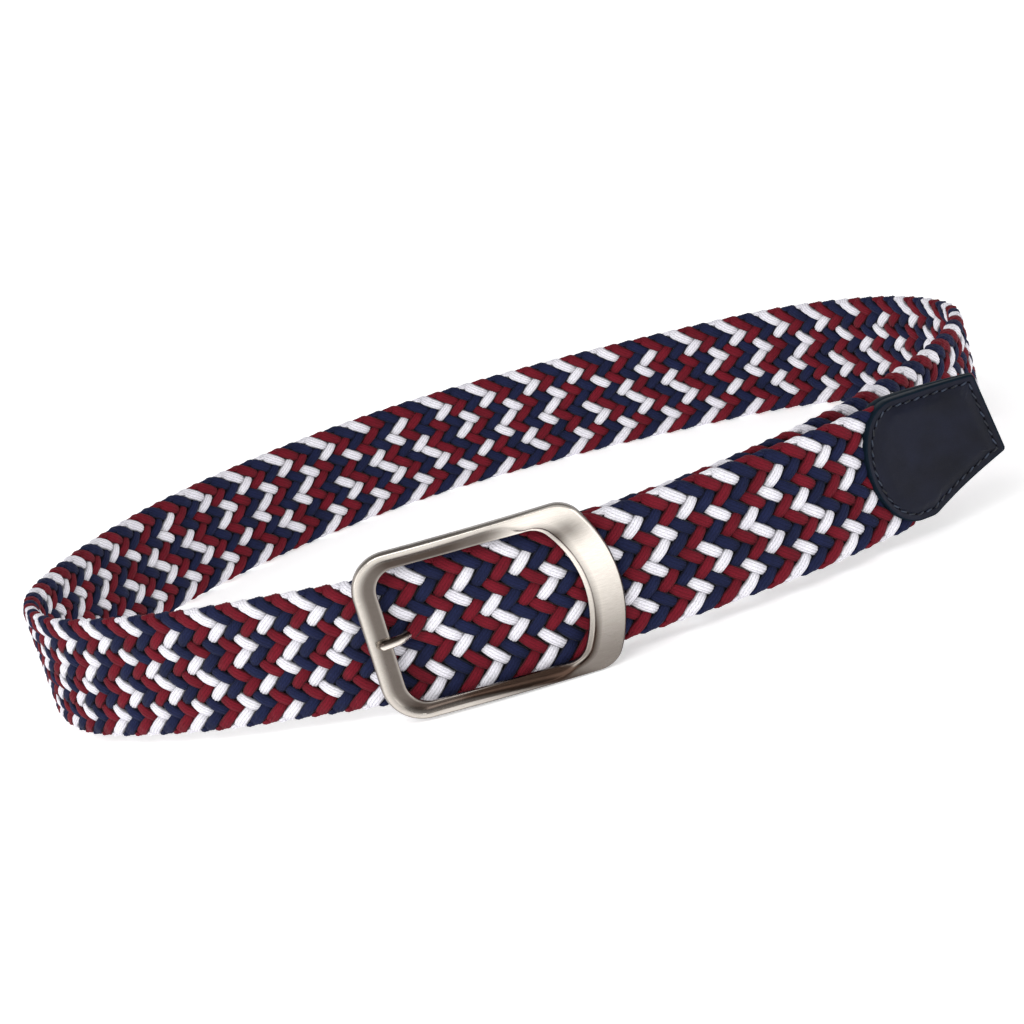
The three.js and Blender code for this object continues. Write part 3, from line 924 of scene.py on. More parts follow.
@dataclass
class Braid:
    """Seventeen flat strands, each over two and under two, and a rubber core."""

    strap: Strap
    prong: Prong
    order: str = "WNRNRWNRWNRWNRWNR"  # colours of the bumps along the upper edge
    start: float = 5.1  # along the strap, inside the leather tab
    end: float = 902.3  # inside the leather tip
    amplitude: float = 0.95  # from the middle of the strap to a strand's middle
    thick: float = 2.0
    core_thick: float = 0.5
    core_inset: float = 1.9  # from the strap's edges to those of the core
    fill: float = 1.05  # a strand's width as a share of its room
    waist: float = 0.19  # how much narrower it is where it dives, as a share
    crown: float = 0.36  # how far it stands over the rest of its way where it lies on top
    dive: tuple[float, float] = (0.2, 0.8)  # where it dives, as shares of the way to the next crossing
    edge_bend: float = 0.22  # how softly it turns back at an edge, in crossings squared
    edge_roll: float = 1.1  # how far from an edge it starts to roll over, in crossings
    stations: int = 3  # cross-sections between two crossings
    edge_stations: int = 6  # the same, where a strand turns over an edge
    samples: int = 24  # between two marks
    slack_rows: tuple[float, float] = (1.0, 2.1)  # how much the edges spread inside the buckle
    slack_from: tuple[float, float] = (-46.0, -33.0)  # where that begins, as x
    slack_to: tuple[float, float] = (4.0, 13.0)  # and where it ends
    slack_depth: float = 12.0  # how far in from an edge it is felt
    parted_to: tuple[float, float] = (-30.0, -27.0)  # where the strands close again past the prong
    tip_squeeze: float = 0.3  # how much flatter it is in the leather tip, as a share
    # Where each half repeat of the colours starts, in millimetres along the strap. The braid is
    # stretched a little more here and less there, as a worn one is.
    marks: tuple[float, ...] = (
        -45.0, 0.2, 45.0, 89.2, 133.5, 178.8, 224.5, 270.8, 316.6, 361.7, 407.1, 453.7, 501.3, 549.6,
        594.0, 631.3, 672.1, 714.3, 757.0, 799.4, 842.5, 884.7, 926.5,
    )

    def __post_init__(self) -> None:
        """Samples where each bump of the upper edge lies."""
        self.strands = len(self.order)
        knots = np.array(self.marks)
        half = self.strands / 2
        ends = np.concatenate([[2 * knots[0] - knots[1]], knots, [2 * knots[-1] - knots[-2]]])
        share = np.arange(self.samples) / self.samples
        runs = [
            hermite(p1, p2, (p2 - p0) / 2, (p3 - p1) / 2, share)
            for p0, p1, p2, p3 in zip(ends[:-3], ends[1:-2], ends[2:-1], ends[3:])
        ]
        self._along = np.concatenate([*runs, knots[-1:]])
        self._bump = np.arange(len(self._along)) * half / self.samples

    def level(self, step: np.ndarray) -> np.ndarray:
        """A strand's distance from the middle of its layer, in amplitudes.

        Args:
            step: crossings passed since the upper edge.

        Returns:
            1 on the outer face, -1 on the inner face.
        """
        half = [0.0] + [1.0, 1.0, -1.0, -1.0] * 4
        keys = np.array([*half, *half, 0.0])
        turn = np.mod(step, 2 * self.strands)
        low = np.floor(turn).astype(int)
        share = turn - low
        here, there = keys[low], keys[low + 1]
        on_top = (here == there) & (here != 0)
        crown = np.where(on_top, here * self.crown * np.sin(np.pi * share), 0.0)
        return here + (there - here) * smoothstep(share, *self.dive) + crown

    def height_of(self, step: np.ndarray) -> np.ndarray:
        """A strand's height on the strap.

        Args:
            step: crossings passed since the upper edge.

        Returns:
            Millimetres above the strap's lower edge.
        """
        half = self.strands / 2
        turn = np.mod(step, 2 * self.strands)
        row = np.minimum(turn, 2 * self.strands - turn) - half
        eased = half - np.sqrt((half - np.abs(row)) ** 2 + self.edge_bend)
        return self.strap.height * (0.5 - np.sign(row) * eased / self.strands)

    def roll_of(self, step: np.ndarray) -> np.ndarray:
        """How a strand's flat face is turned.

        Args:
            step: crossings passed since the upper edge.

        Returns:
            Radians: 0 on the way down, a quarter turn at an edge, half a turn on the way up.
        """
        half = self.strands / 2
        turn = np.mod(step + half, 2 * self.strands) - half
        down = smoothstep(turn, self.strands - self.edge_roll, self.strands + self.edge_roll)
        back = smoothstep(turn, -self.edge_roll, self.edge_roll)
        return math.pi * np.where(turn < half, 1 - back, down)

    def pressed(self, along: np.ndarray) -> np.ndarray:
        """How far the braid is pressed for the leather tip, from 0 to 1."""
        return smoothstep(along, self.strap.seam - 5, self.strap.seam + 2.5)

    def gathered(self, up: np.ndarray, tight: np.ndarray) -> np.ndarray:
        """Draws heights in for the leather tip, which is lower than the braid.

        Args:
            up: height over the strap's lower edge.
            tight: how far the braid is pressed there.

        Returns:
            The height that is left.
        """
        return up + tight * (3.5 - 5.0 * up / self.strap.height)

    def spread(self, along: np.ndarray, up: np.ndarray) -> np.ndarray:
        """How far the outer rows stand out where the braid lies slack in the buckle.

        Args:
            along: millimetres along the strap.
            up: height over its lower edge.

        Returns:
            Millimetres upwards.
        """
        begins, ends = (
            smoothstep(along, *(self.strap.along_at(x) for x in stretch))
            for stretch in (self.slack_from, self.slack_to)
        )
        upper, lower = self.slack_rows
        high = self.strap.height
        raised = upper * smoothstep(up, high - self.slack_depth, high)
        return begins * (1 - ends) * (raised - lower * (1 - smoothstep(up, 0.0, self.slack_depth)))

    def round_prong(self, along: np.ndarray, out: np.ndarray, up: np.ndarray) -> np.ndarray:
        """Moves the strands aside where the prong goes through.

        Args:
            along: millimetres along the strap.
            out: distance from the strap's middle towards its outer face.
            up: height over its lower edge.

        Returns:
            That distance, clear of the prong.
        """
        axis = self.prong.curve()
        lengths = np.array([self.strap.along_at(x) for x in axis[::-1, 0]])
        centre = self.strap.centre_y(along) - np.interp(along, lengths, axis[::-1, 1])
        above = up - (self.prong.height - self.strap.seat)
        closed = smoothstep(along, *(self.strap.along_at(x) for x in self.parted_to))
        reach = self.prong.radius + 0.5 * self.thick + 0.1
        near = smoothstep(along, lengths[0] - 1, lengths[0] + 3) * (1 - closed)
        near = near * (1 - smoothstep(np.abs(above), 0.9, reach + 1.5))
        # Over the prong until that has come well out of the strap, and behind it from there on.
        over = 1 - smoothstep(centre, 1.2, 3.2)
        front = np.maximum(out, centre + reach + 0.45 * (out - self.amplitude))
        behind = np.minimum(out, centre - reach)
        return out + near * (behind + (front - behind) * over - out)

    def section(self) -> tuple[np.ndarray, np.ndarray]:
        """A strand's cross-section: four ridges on each flat face.

        Returns:
            Its points as shares of half the width and half the thickness, and how far round each is.
        """
        across = np.array([-0.75, -0.5, -0.25, 0.0, 0.25, 0.5, 0.75])
        round_off = (1 - np.abs(across) ** 2.1) ** 0.6
        face = round_off * np.where(np.arange(7) % 2 == 0, 1.0, 0.86)
        x = np.concatenate([[-1.0], across, [1.0], -across])
        z = np.concatenate([[0.0], face, [0.0], -face])
        way = np.concatenate([[0.0], 0.25 + across / 4, [0.5], 0.75 + across / 4])
        return np.column_stack([x, z]), way

    def inside(self, step: np.ndarray) -> np.ndarray:
        """How far a place is from the edges where strands turn: 0 at an edge, 1 inside."""
        turn = np.mod(step, self.strands)
        return smoothstep(np.minimum(turn, self.strands - turn), 0.3, 1.6)

    def steps_between(self, first: float, last: float) -> np.ndarray:
        """Where a strand gets its cross-sections: closer together at the edges.

        Args:
            first: where it starts, in crossings since the upper edge.
            last: where it ends.

        Returns:
            The places, in the same measure.
        """
        whole = np.arange(math.floor(first), math.ceil(last))
        turn = np.mod(whole + 0.5, self.strands)
        near_edge = np.minimum(turn, self.strands - turn) < 2
        parts = [
            low + np.arange(count) / count
            for low, count in zip(whole, np.where(near_edge, self.edge_stations, self.stations))
        ]
        places = np.concatenate(parts)
        inside = places[(places > first + 0.05) & (places < last - 0.05)]
        return np.concatenate([[first], inside, [last]])

    def strand(self, surface: Surface, number: int) -> None:
        """Adds one strand.

        Args:
            surface: where it goes.
            number: its place in the order of bumps.
        """
        first, last = (np.interp(v, self._along, self._bump) for v in (self.start, self.end))
        step = self.steps_between(2 * (first - number), 2 * (last - number))
        bump = number + step / 2
        along = np.interp(bump, self._bump, self._along)
        pitch = np.gradient(along, bump)
        tight = self.pressed(along)
        flat = 1 - self.tip_squeeze * tight
        level = self.level(step)
        up = self.gathered(self.height_of(step), tight)
        up = up + self.spread(along, up)
        out = self.round_prong(along, self.amplitude * level * flat, up)
        middle = self.strap.place(along, -out, up)
        outward = unit(self.strap.place(along, -out - 1, up) - middle)
        upward = unit(self.strap.place(along, -out, up + 1) - middle)
        tangent = unit(np.gradient(middle, axis=0))
        roll = self.roll_of(step)[:, None]
        normal = np.cos(roll) * outward + np.sin(roll) * upward
        normal = unit(normal - tangent * np.sum(normal * tangent, -1, keepdims=True))
        sideways = np.cross(tangent, normal)
        slope = 2 * self.strap.height / self.strands / pitch
        room = pitch * np.sin(np.arctan(slope))
        shape, way = self.section()
        inside, depth = self.inside(step), np.clip(np.abs(level), 0, 1)
        narrow = 1 - self.waist * (1 - depth**2) * inside
        width = (0.5 * self.fill * room * narrow)[:, None, None] * sideways[:, None]
        thick = (0.5 * self.thick * flat)[:, None, None] * normal[:, None]
        rings = middle[:, None] + width * shape[None, :, :1] + thick * shape[None, :, 1:]
        # The masks of the painted shade: at an edge of the strap the strand lies on its side and gets
        # no painted shade at its rims; where it dives between its neighbours it is painted dark.
        rows = (run_along(middle), inside, inside * (1 - depth))
        numbers = (np.append(way, 1.0)[None, :], *(row[:, None] for row in rows))
        surface.loft(rings, uv=np.stack(np.broadcast_arrays(*numbers), -1))

    def core(self, finish: bpy.types.Material) -> bpy.types.Object:
        """Builds the rubber core.

        Args:
            finish: its material.

        Returns:
            The piece.
        """
        along = np.linspace(self.start + 1, self.end - 1, 240)
        section = rounded_section(self.core_thick, 0, 1, 0.2, 3)
        tight = self.pressed(along)[:, None]
        room = self.strap.height - 2 * self.core_inset
        up = self.gathered(self.core_inset + section[None, :, 1] * room, tight)
        up = up + self.spread(along[:, None], up)
        surface = Surface()
        surface.loft(self.strap.place(along[:, None], section[None, :, 0], up))
        return surface.build("braid_core", [finish])

    def build(self) -> list[bpy.types.Object]:
        """Builds the strands, one piece for each colour, and the core.

        Returns:
            The pieces.
        """
        made = []
        for yarn in YARNS:
            finish = yarn.finish.build()
            numbers = [number for number, letter in enumerate(self.order) if letter == yarn.letter]
            half = len(numbers) // 2
            for part, group in (("upper", numbers[:half]), ("lower", numbers[half:])):
                surface = Surface(maps=2)
                for number in group:
                    self.strand(surface, number)
                made.append(surface.build(f"{yarn.name}_{part}", [finish], "cord", "lie"))
        made.append(self.core(RubberCoreAsShade().build()))
        return made


@dataclass
class BuckleFrame:
    """The cast frame: two rails, a left bar, a broad crescent and a heel bar on two lugs."""

    strap: Strap
    width: float = 66.7
    right: float = 20.8
    height: float = 45.6
    cant: float = 0.011  # how much the left end rides higher, per mm along the frame
    left_bar: float = 6.2
    top_rail: float = 4.9
    bottom_rail: float = 4.0
    crescent: float = 9.6
    front: float = -5.25
    back: float = -2.05
    bow: float = 1.6
    broad_from: tuple[float, float] = (6.4, 9.0)  # widths from which it is shaped as the crescent
    dark_patch_at: tuple[float, float] = (10.6, 38.3)  # (x, z) of a darker patch
    dark_patch_size: tuple[float, float] = (5.6, 3.6)
    # The radius of the crescent's edge and the height of its middle, outside and inside.
    outer_side: tuple[float, float] = (38.0, 21.8)
    inner_side: tuple[float, float] = (29.0, 21.2)
    outer_corners: tuple[float, float] = (10.5, 7.5)
    inner_corners: tuple[float, float] = (6.0, 6.0)
    heel_radius: float = 1.9
    lug_width: float = 3.8
    top_lug: float = 2.6
    bottom_lug: float = 2.4
    gap: float = 0.3

    def outline(
        self, left: float, right: float, low: float, high: float,
        corners: tuple[float, float], side: tuple[float, float],
    ) -> np.ndarray:
        """One edge of the frame, seen from the front, round from the lower left corner.

        Args:
            left: its left side.
            right: its farthest reach to the right.
            low: its lower side.
            high: its upper side.
            corners: radii of the left and the right corners.
            side: radius of the right side, and the height of its middle.

        Returns:
            Its points as (x, z) pairs, as many for the outer edge as for the inner.
        """
        near, far = corners
        radius, middle = side
        side_x = right - radius

        def arc(x: float, z: float, radius: float, start: float, end: float, steps: int) -> np.ndarray:
            """Points on an arc, without the last."""
            angle = np.linspace(start, end, steps, endpoint=False)
            return np.column_stack([x + radius * np.cos(angle), z + radius * np.sin(angle)])

        def line(start: tuple[float, float], end: tuple[float, float], steps: int) -> np.ndarray:
            """Points on a line, without the last."""
            return np.linspace(start, end, steps, endpoint=False)

        def corner(z: float) -> tuple[float, float]:
            """Where the corner's centre lies, and the angle at which it runs into the side."""
            reach = math.sqrt((radius - far) ** 2 - (z - middle) ** 2)
            return side_x + reach, math.atan2(z - middle, reach)

        (low_x, low_angle), (high_x, high_angle) = corner(low + far), corner(high - far)
        return np.vstack(
            [
                arc(left + near, low + near, near, math.pi, 1.5 * math.pi, 18),
                line((left + near, low), (low_x, low), 22),
                arc(low_x, low + far, far, -math.pi / 2, low_angle, 14),
                arc(side_x, middle, radius, low_angle, high_angle, 30),
                arc(high_x, high - far, far, high_angle, math.pi / 2, 14),
                line((high_x, high), (left + near, high), 22),
                arc(left + near, high - near, near, math.pi / 2, math.pi, 18),
                line((left, high - near), (left, low + near), 14),
            ]
        )

    def profile(self, width: float) -> np.ndarray:
        """The ring's section: a rounded ridge by the outer edge and a hollow slope down to the window.

        The slope is broad on the rails and the left bar, and a narrow bevel on the crescent.

        Args:
            width: from the outer edge to the inner edge.

        Returns:
            Its points in order: share of the way in, y, and how much painted shade and reflection darken
                the metal there.
        """
        broad = float(smoothstep(np.array(width), *self.broad_from))
        ridge = 1.75 + (width - 1.75 - 1.5) * broad
        fall = 1.55 - 0.75 * broad
        round_x, round_y, rim_radius = 1.1, 1.5, 0.35
        turn = np.linspace(0, math.pi / 2, 9)
        outside = np.column_stack(
            [round_x * (1 - np.sin(turn)), self.front + round_y * (1 - np.cos(turn))]
        )[::-1]
        crest = np.linspace(round_x, ridge, 5)[1:]
        bulge = 0.12 * (1 - ((crest - round_x) / max(ridge - round_x, 0.1) * 2 - 1) ** 2) * broad
        top = np.column_stack([crest, self.front - bulge])
        share = np.linspace(0, 1, 9)[1:]
        slope = np.column_stack(
            [ridge + (width - rim_radius - ridge) * share, self.front + fall * (share * (2 - share))]
        )
        low = self.front + fall
        turn = turn[::2]
        inside = np.column_stack(
            [width - rim_radius + rim_radius * np.sin(turn), low + rim_radius * (1 - np.cos(turn))]
        )[1:]
        # The two corners and the side of a rounded section that lie at the back.
        back = rounded_section(width, low + rim_radius, self.back, 0.6, 5)[6:18] + (width / 2, 0)
        points = np.vstack([outside, top, slope, inside, back])
        past = points[:, 0] - ridge
        down = past / (width - ridge)
        # Painted shade and reflection darken the rails' hollow, the line along the crescent's bevel, the
        # outer rim and the back.
        hollow = 0.3 + 0.66 * smoothstep(down, -0.25, 0.4) - 0.3 * smoothstep(down, 0.8, 1.0)
        line = 0.5 * np.exp(-(((past - 0.1) / 0.22) ** 2))
        rim = 1 - smoothstep(points[:, 0], 0.3 - 0.15 * broad, 1.05 - 0.55 * broad)
        shade_share = np.maximum(hollow + (line - hollow) * broad, 0.8 * rim)
        shade_share[points[:, 1] > low + 0.36] = 0.9
        return np.column_stack([points[:, 0] / width, points[:, 1], shade_share])

    def ring(self, surface: Surface) -> None:
        """Adds the frame's ring.

        Args:
            surface: where it goes.
        """
        left = self.right - self.width
        outer = self.outline(left, self.right, 0, self.height, self.outer_corners, self.outer_side)
        inner = self.outline(
            left + self.left_bar, self.right - self.crescent,
            self.bottom_rail, self.height - self.top_rail, self.inner_corners, self.inner_side,
        )
        half = self.width / 2
        rings, shade_share = [], []
        for (ox, oz), (ix, iz) in zip(outer, inner):
            width = math.hypot(ix - ox, iz - oz)
            share, y, profile_shade = self.profile(width).T
            x, z = ox + (ix - ox) * share, oz + (iz - oz) * share
            # Painted shade and reflection: the rails' hollows are the darkest, and the crescent darkens
            # towards its foot. A patch by its upper corner is darker too.
            rail = float(smoothstep(np.array(width), 6.1, 5.2))
            foot = (1 - smoothstep(z, 2.0, 32.0)) * smoothstep(x, -30.0, 8.0)
            (worn_x, worn_z), (wide, high) = self.dark_patch_at, self.dark_patch_size
            uneven_tone = np.exp(-((x - worn_x) / wide) ** 2 - ((z - worn_z) / high) ** 2)
            shade_share.append(np.clip(profile_shade * (0.92 + 0.08 * rail) + 0.8 * foot + 0.75 * uneven_tone, 0, 1))
            z = z + self.cant * (self.right - x)
            reach = (x - self.right + half) / half
            rings.append(np.column_stack([x, y - self.bow * (1 - reach**2), z]))
        level = np.array([*shade_share, shade_share[0]])
        level = np.column_stack([level, level[:, :1]])
        run = np.arange(float(len(level)))[:, None]
        surface.loft(np.array(rings), closed=True, uv=np.stack(np.broadcast_arrays(level, run), -1))

    def heel(self, surface: Surface) -> None:
        """Adds the heel bar and the two lugs that carry it.

        Args:
            surface: where they go.
        """
        strap = self.strap
        low = strap.seat - self.gap - strap.heel_sink * strap.thickness
        high = strap.seat + strap.height + self.gap
        turn = np.linspace(0, 2 * math.pi, 32, endpoint=False)
        x = strap.heel_x + self.heel_radius * np.cos(turn)
        y = strap.heel_y + self.heel_radius * np.sin(turn)
        levels = np.linspace(low - self.bottom_lug / 2, high + self.top_lug / 2, 12)
        surface.loft(np.stack(np.broadcast_arrays(x, y, levels[:, None]), -1))
        back = strap.heel_y + self.heel_radius
        front = 0.5 * (self.front + self.back)
        for bottom, top in ((low - self.bottom_lug, low), (high, high + self.top_lug)):
            section = rounded_section(self.lug_width, bottom, top, 0.5, 4)
            middle = np.linspace(front + 1, back - 0.5, 8)
            stations = np.array([front, front + 0.2, *middle, back - 0.15, back])
            # Its back end is rounded off.
            shrink = np.array([1.0] * (len(stations) - 2) + [0.94, 0.8])[:, None]
            middle = (bottom + top) / 2
            x = strap.heel_x + section[:, 0] * shrink
            z = middle + (section[:, 1] - middle) * shrink
            surface.loft(np.stack(np.broadcast_arrays(x, stations[:, None], z), -1))

    def build(self, finish: bpy.types.Material, prong: Prong) -> list[bpy.types.Object]:
        """Builds the frame, with a notch in the left bar for the prong, and the heel bar.

        Args:
            finish: the metal.
            prong: the prong that the notch takes.

        Returns:
            The two pieces.
        """
        surface = Surface()
        self.ring(surface)
        ring = surface.build("buckle_ring", [finish], "painted_shade")
        tool = Surface()
        prong.rod(tool, prong.notch_room)
        cut(ring, tool.build("notch_tool", [], "painted_shade"))
        soften(ring, 50)
        surface = Surface()
        self.heel(surface)
        heel = surface.build("buckle_heel_bar", [finish])
        soften(heel, 45)
        return [ring, heel]


@dataclass
class Stitching:
    """A row of short slanting stitches that dive into the leather at both ends."""

    spacing: float = 2.7
    length: float = 1.9
    radius: float = 0.24
    rise: float = 0.2
    slant: float = 0.28  # how far a stitch leans off the row, as a share of its length
    sides: int = 7
    stations: int = 9
    slit: tuple[float, float] = (0.75, 0.3)  # half the length and half the width of an awl slit

    def pierce(self, surface: Surface, middle: np.ndarray, ahead: np.ndarray, skin: Skin) -> None:
        """Adds an awl slit, which leans across the row, with the second material: a near-black oval that
        stands a little over the leather, as painted shade of the hole.

        Args:
            surface: where it goes.
            middle: its place, as (along, up) on the leather.
            ahead: the row's direction there.
            skin: gives the point at a pair, with a height over the leather.
        """
        across = np.array([-ahead[1], ahead[0]])
        long_way = unit(0.6 * ahead + across)
        short_way = np.array([-long_way[1], long_way[0]])
        turn = np.linspace(0, 2 * math.pi, 10, endpoint=False)[:, None]
        oval = self.slit[0] * np.cos(turn) * long_way + self.slit[1] * np.sin(turn) * short_way
        rings = [
            [skin(point, height) for point in middle + size * oval]
            for size, height in ((1.0, -0.1), (1.0, 0.05), (0.45, 0.07))
        ]
        surface.loft(np.array(rings), finish=[1, 1])

    def sew(self, surface: Surface, path: np.ndarray, skin: Skin) -> None:
        """Adds the stitches of one row.

        Args:
            surface: where they go.
            path: the row, as (along, up) pairs on the leather.
            skin: gives the point at a pair, with a height over the leather.
        """
        run = run_along(path)
        count = int(run[-1] / self.spacing)
        share = np.linspace(-0.5, 0.5, self.stations)
        turn = np.linspace(0, 2 * math.pi, self.sides, endpoint=False)[None, :, None]
        for number in range(count):
            middle = (number + 0.5) * run[-1] / count
            at = middle + share * self.length
            flat = np.column_stack([np.interp(at, run, path[:, i]) for i in (0, 1)])
            ahead = unit(flat[-1] - flat[0])
            flat = flat + np.outer(share * self.slant * self.length, [-ahead[1], ahead[0]])
            height = self.rise * (1 - (2 * share) ** 4) - 0.3 * (2 * share) ** 6
            line = np.array([skin(point, float(h)) for point, h in zip(flat, height)])
            centre = flat[len(flat) // 2]
            above = unit(skin(centre, 1.0) - skin(centre, 0.0))
            tangent = unit(np.gradient(line, axis=0))
            side = unit(np.cross(tangent, above))
            over = np.cross(side, tangent)
            size = self.radius * (1 - 0.45 * (2 * share) ** 6)
            circles = np.cos(turn) * side[:, None] + np.sin(turn) * over[:, None]
            surface.loft(line[:, None] + size[:, None, None] * circles)
            start = (number + 0.02) * run[-1] / count
            hole = np.array([np.interp([start, start + 0.5], run, path[:, i]) for i in (0, 1)]).T
            self.pierce(surface, hole[0], unit(hole[1] - hole[0]), skin)


@dataclass
class LeatherTab:
    """The leather that is folded round the heel bar and sewn over the start of the braid."""

    strap: Strap
    prong: Prong
    wall: float = 1.4
    inside: float = 2.2  # radius inside the fold
    straight: float = 8.0
    bulge: float = 12.0
    trim: float = 1.2
    flat_from: float = 2.5
    inset: float = 2.0
    gap: float = 0.3  # between the leather and the strap
    sewn_from: float = 4.2  # where its stitches start, from the heel bar
    slot_x: tuple[float, float] = (-8.0, 3.8)  # the slot for the prong's eye, from the heel bar
    slot_half: float = 2.0  # half the slot's height

    def half_height(self, along: np.ndarray) -> np.ndarray:
        """Half the tab's height, which runs out round at its end."""
        past = np.clip((np.asarray(along, float) - self.straight) / self.bulge, 0, 1)
        return (self.strap.height - self.trim) / 2 * np.sqrt(np.maximum(1 - past**2, 0.0006))

    def build(self, leather: bpy.types.Material) -> bpy.types.Object:
        """Builds the folded leather, with the slot for the prong's eye.

        Args:
            leather: its finish.

        Returns:
            The piece.
        """
        strap = self.strap
        base = float(strap.place(0, 0, 0)[2])
        middle = strap.height / 2
        offset = strap.thickness / 2 + self.gap + self.wall / 2
        radius = self.inside + self.wall / 2
        reach = self.straight + self.bulge
        spread = np.sin(np.linspace(0, math.pi / 2, 26))
        away = self.flat_from + (reach - self.flat_from) * spread
        wall = rounded_section(self.wall, -5, 5, 0.35, 4, flats=12)

        def up_at(along: float) -> np.ndarray:
            """How high the points of the wall's section lie over its middle."""
            return wall[:, 1] * (float(self.half_height(along)) / 5)

        def flat_wall(along: float, side: Side) -> np.ndarray:
            """One ring of a flat wall."""
            return strap.place(along, side.value * (offset + wall[:, 0]), middle + up_at(along))

        rings = [flat_wall(along, Side.OUTER) for along in away[::-1]]
        for angle in np.linspace(1.5 * math.pi, 0.5 * math.pi, 25):
            turn = radius + wall[:, 0]
            x, y = strap.heel_x + turn * math.cos(angle), strap.heel_y + turn * math.sin(angle)
            rings.append(np.column_stack([x, y, base + middle + up_at(0.0)]))
        rings += [flat_wall(along, Side.INNER) for along in away]
        surface = Surface()
        surface.loft(np.array(rings))
        made = surface.build("tab_leather", [leather])
        tool = Surface()
        x0, x1 = (strap.heel_x + x for x in self.slot_x)
        y0, y1 = strap.heel_y - 8.0, strap.heel_y + 8.0
        base_ring = np.array([(x0, y0), (x1, y0), (x1, y1), (x0, y1)])
        levels = (self.prong.height - self.slot_half, self.prong.height + self.slot_half)
        tool.loft(np.array([np.column_stack([base_ring, np.full(4, z)]) for z in levels]))
        cut(made, tool.build("slot_tool", []))
        soften(made, 50)
        return made

    def stitches(self, finishes: Sequence[bpy.types.Material]) -> bpy.types.Object:
        """Builds the stitches round the tab's end, on both of its walls.

        Args:
            finishes: the thread and the painted shade of the awl slits.

        Returns:
            The piece.
        """
        surface = Surface()
        middle = self.strap.height / 2
        full = (self.strap.height - self.trim) / 2 - self.inset
        angle = np.linspace(-math.pi / 2, math.pi / 2, 60)
        ends = np.column_stack(
            [self.straight + (self.bulge - self.inset) * np.cos(angle), middle + full * np.sin(angle)]
        )
        path = np.vstack([[(self.sewn_from, middle - full)], ends, [(self.sewn_from, middle + full)]])
        offset = self.strap.thickness / 2 + self.gap + self.wall
        for side in Side:

            def skin(point: np.ndarray, height: float, side: Side = side) -> np.ndarray:
                """A point over the wall."""
                return self.strap.place(point[0], side.value * (offset + height), point[1])

            Stitching().sew(surface, path, skin)
        return surface.build("tab_stitches", finishes)


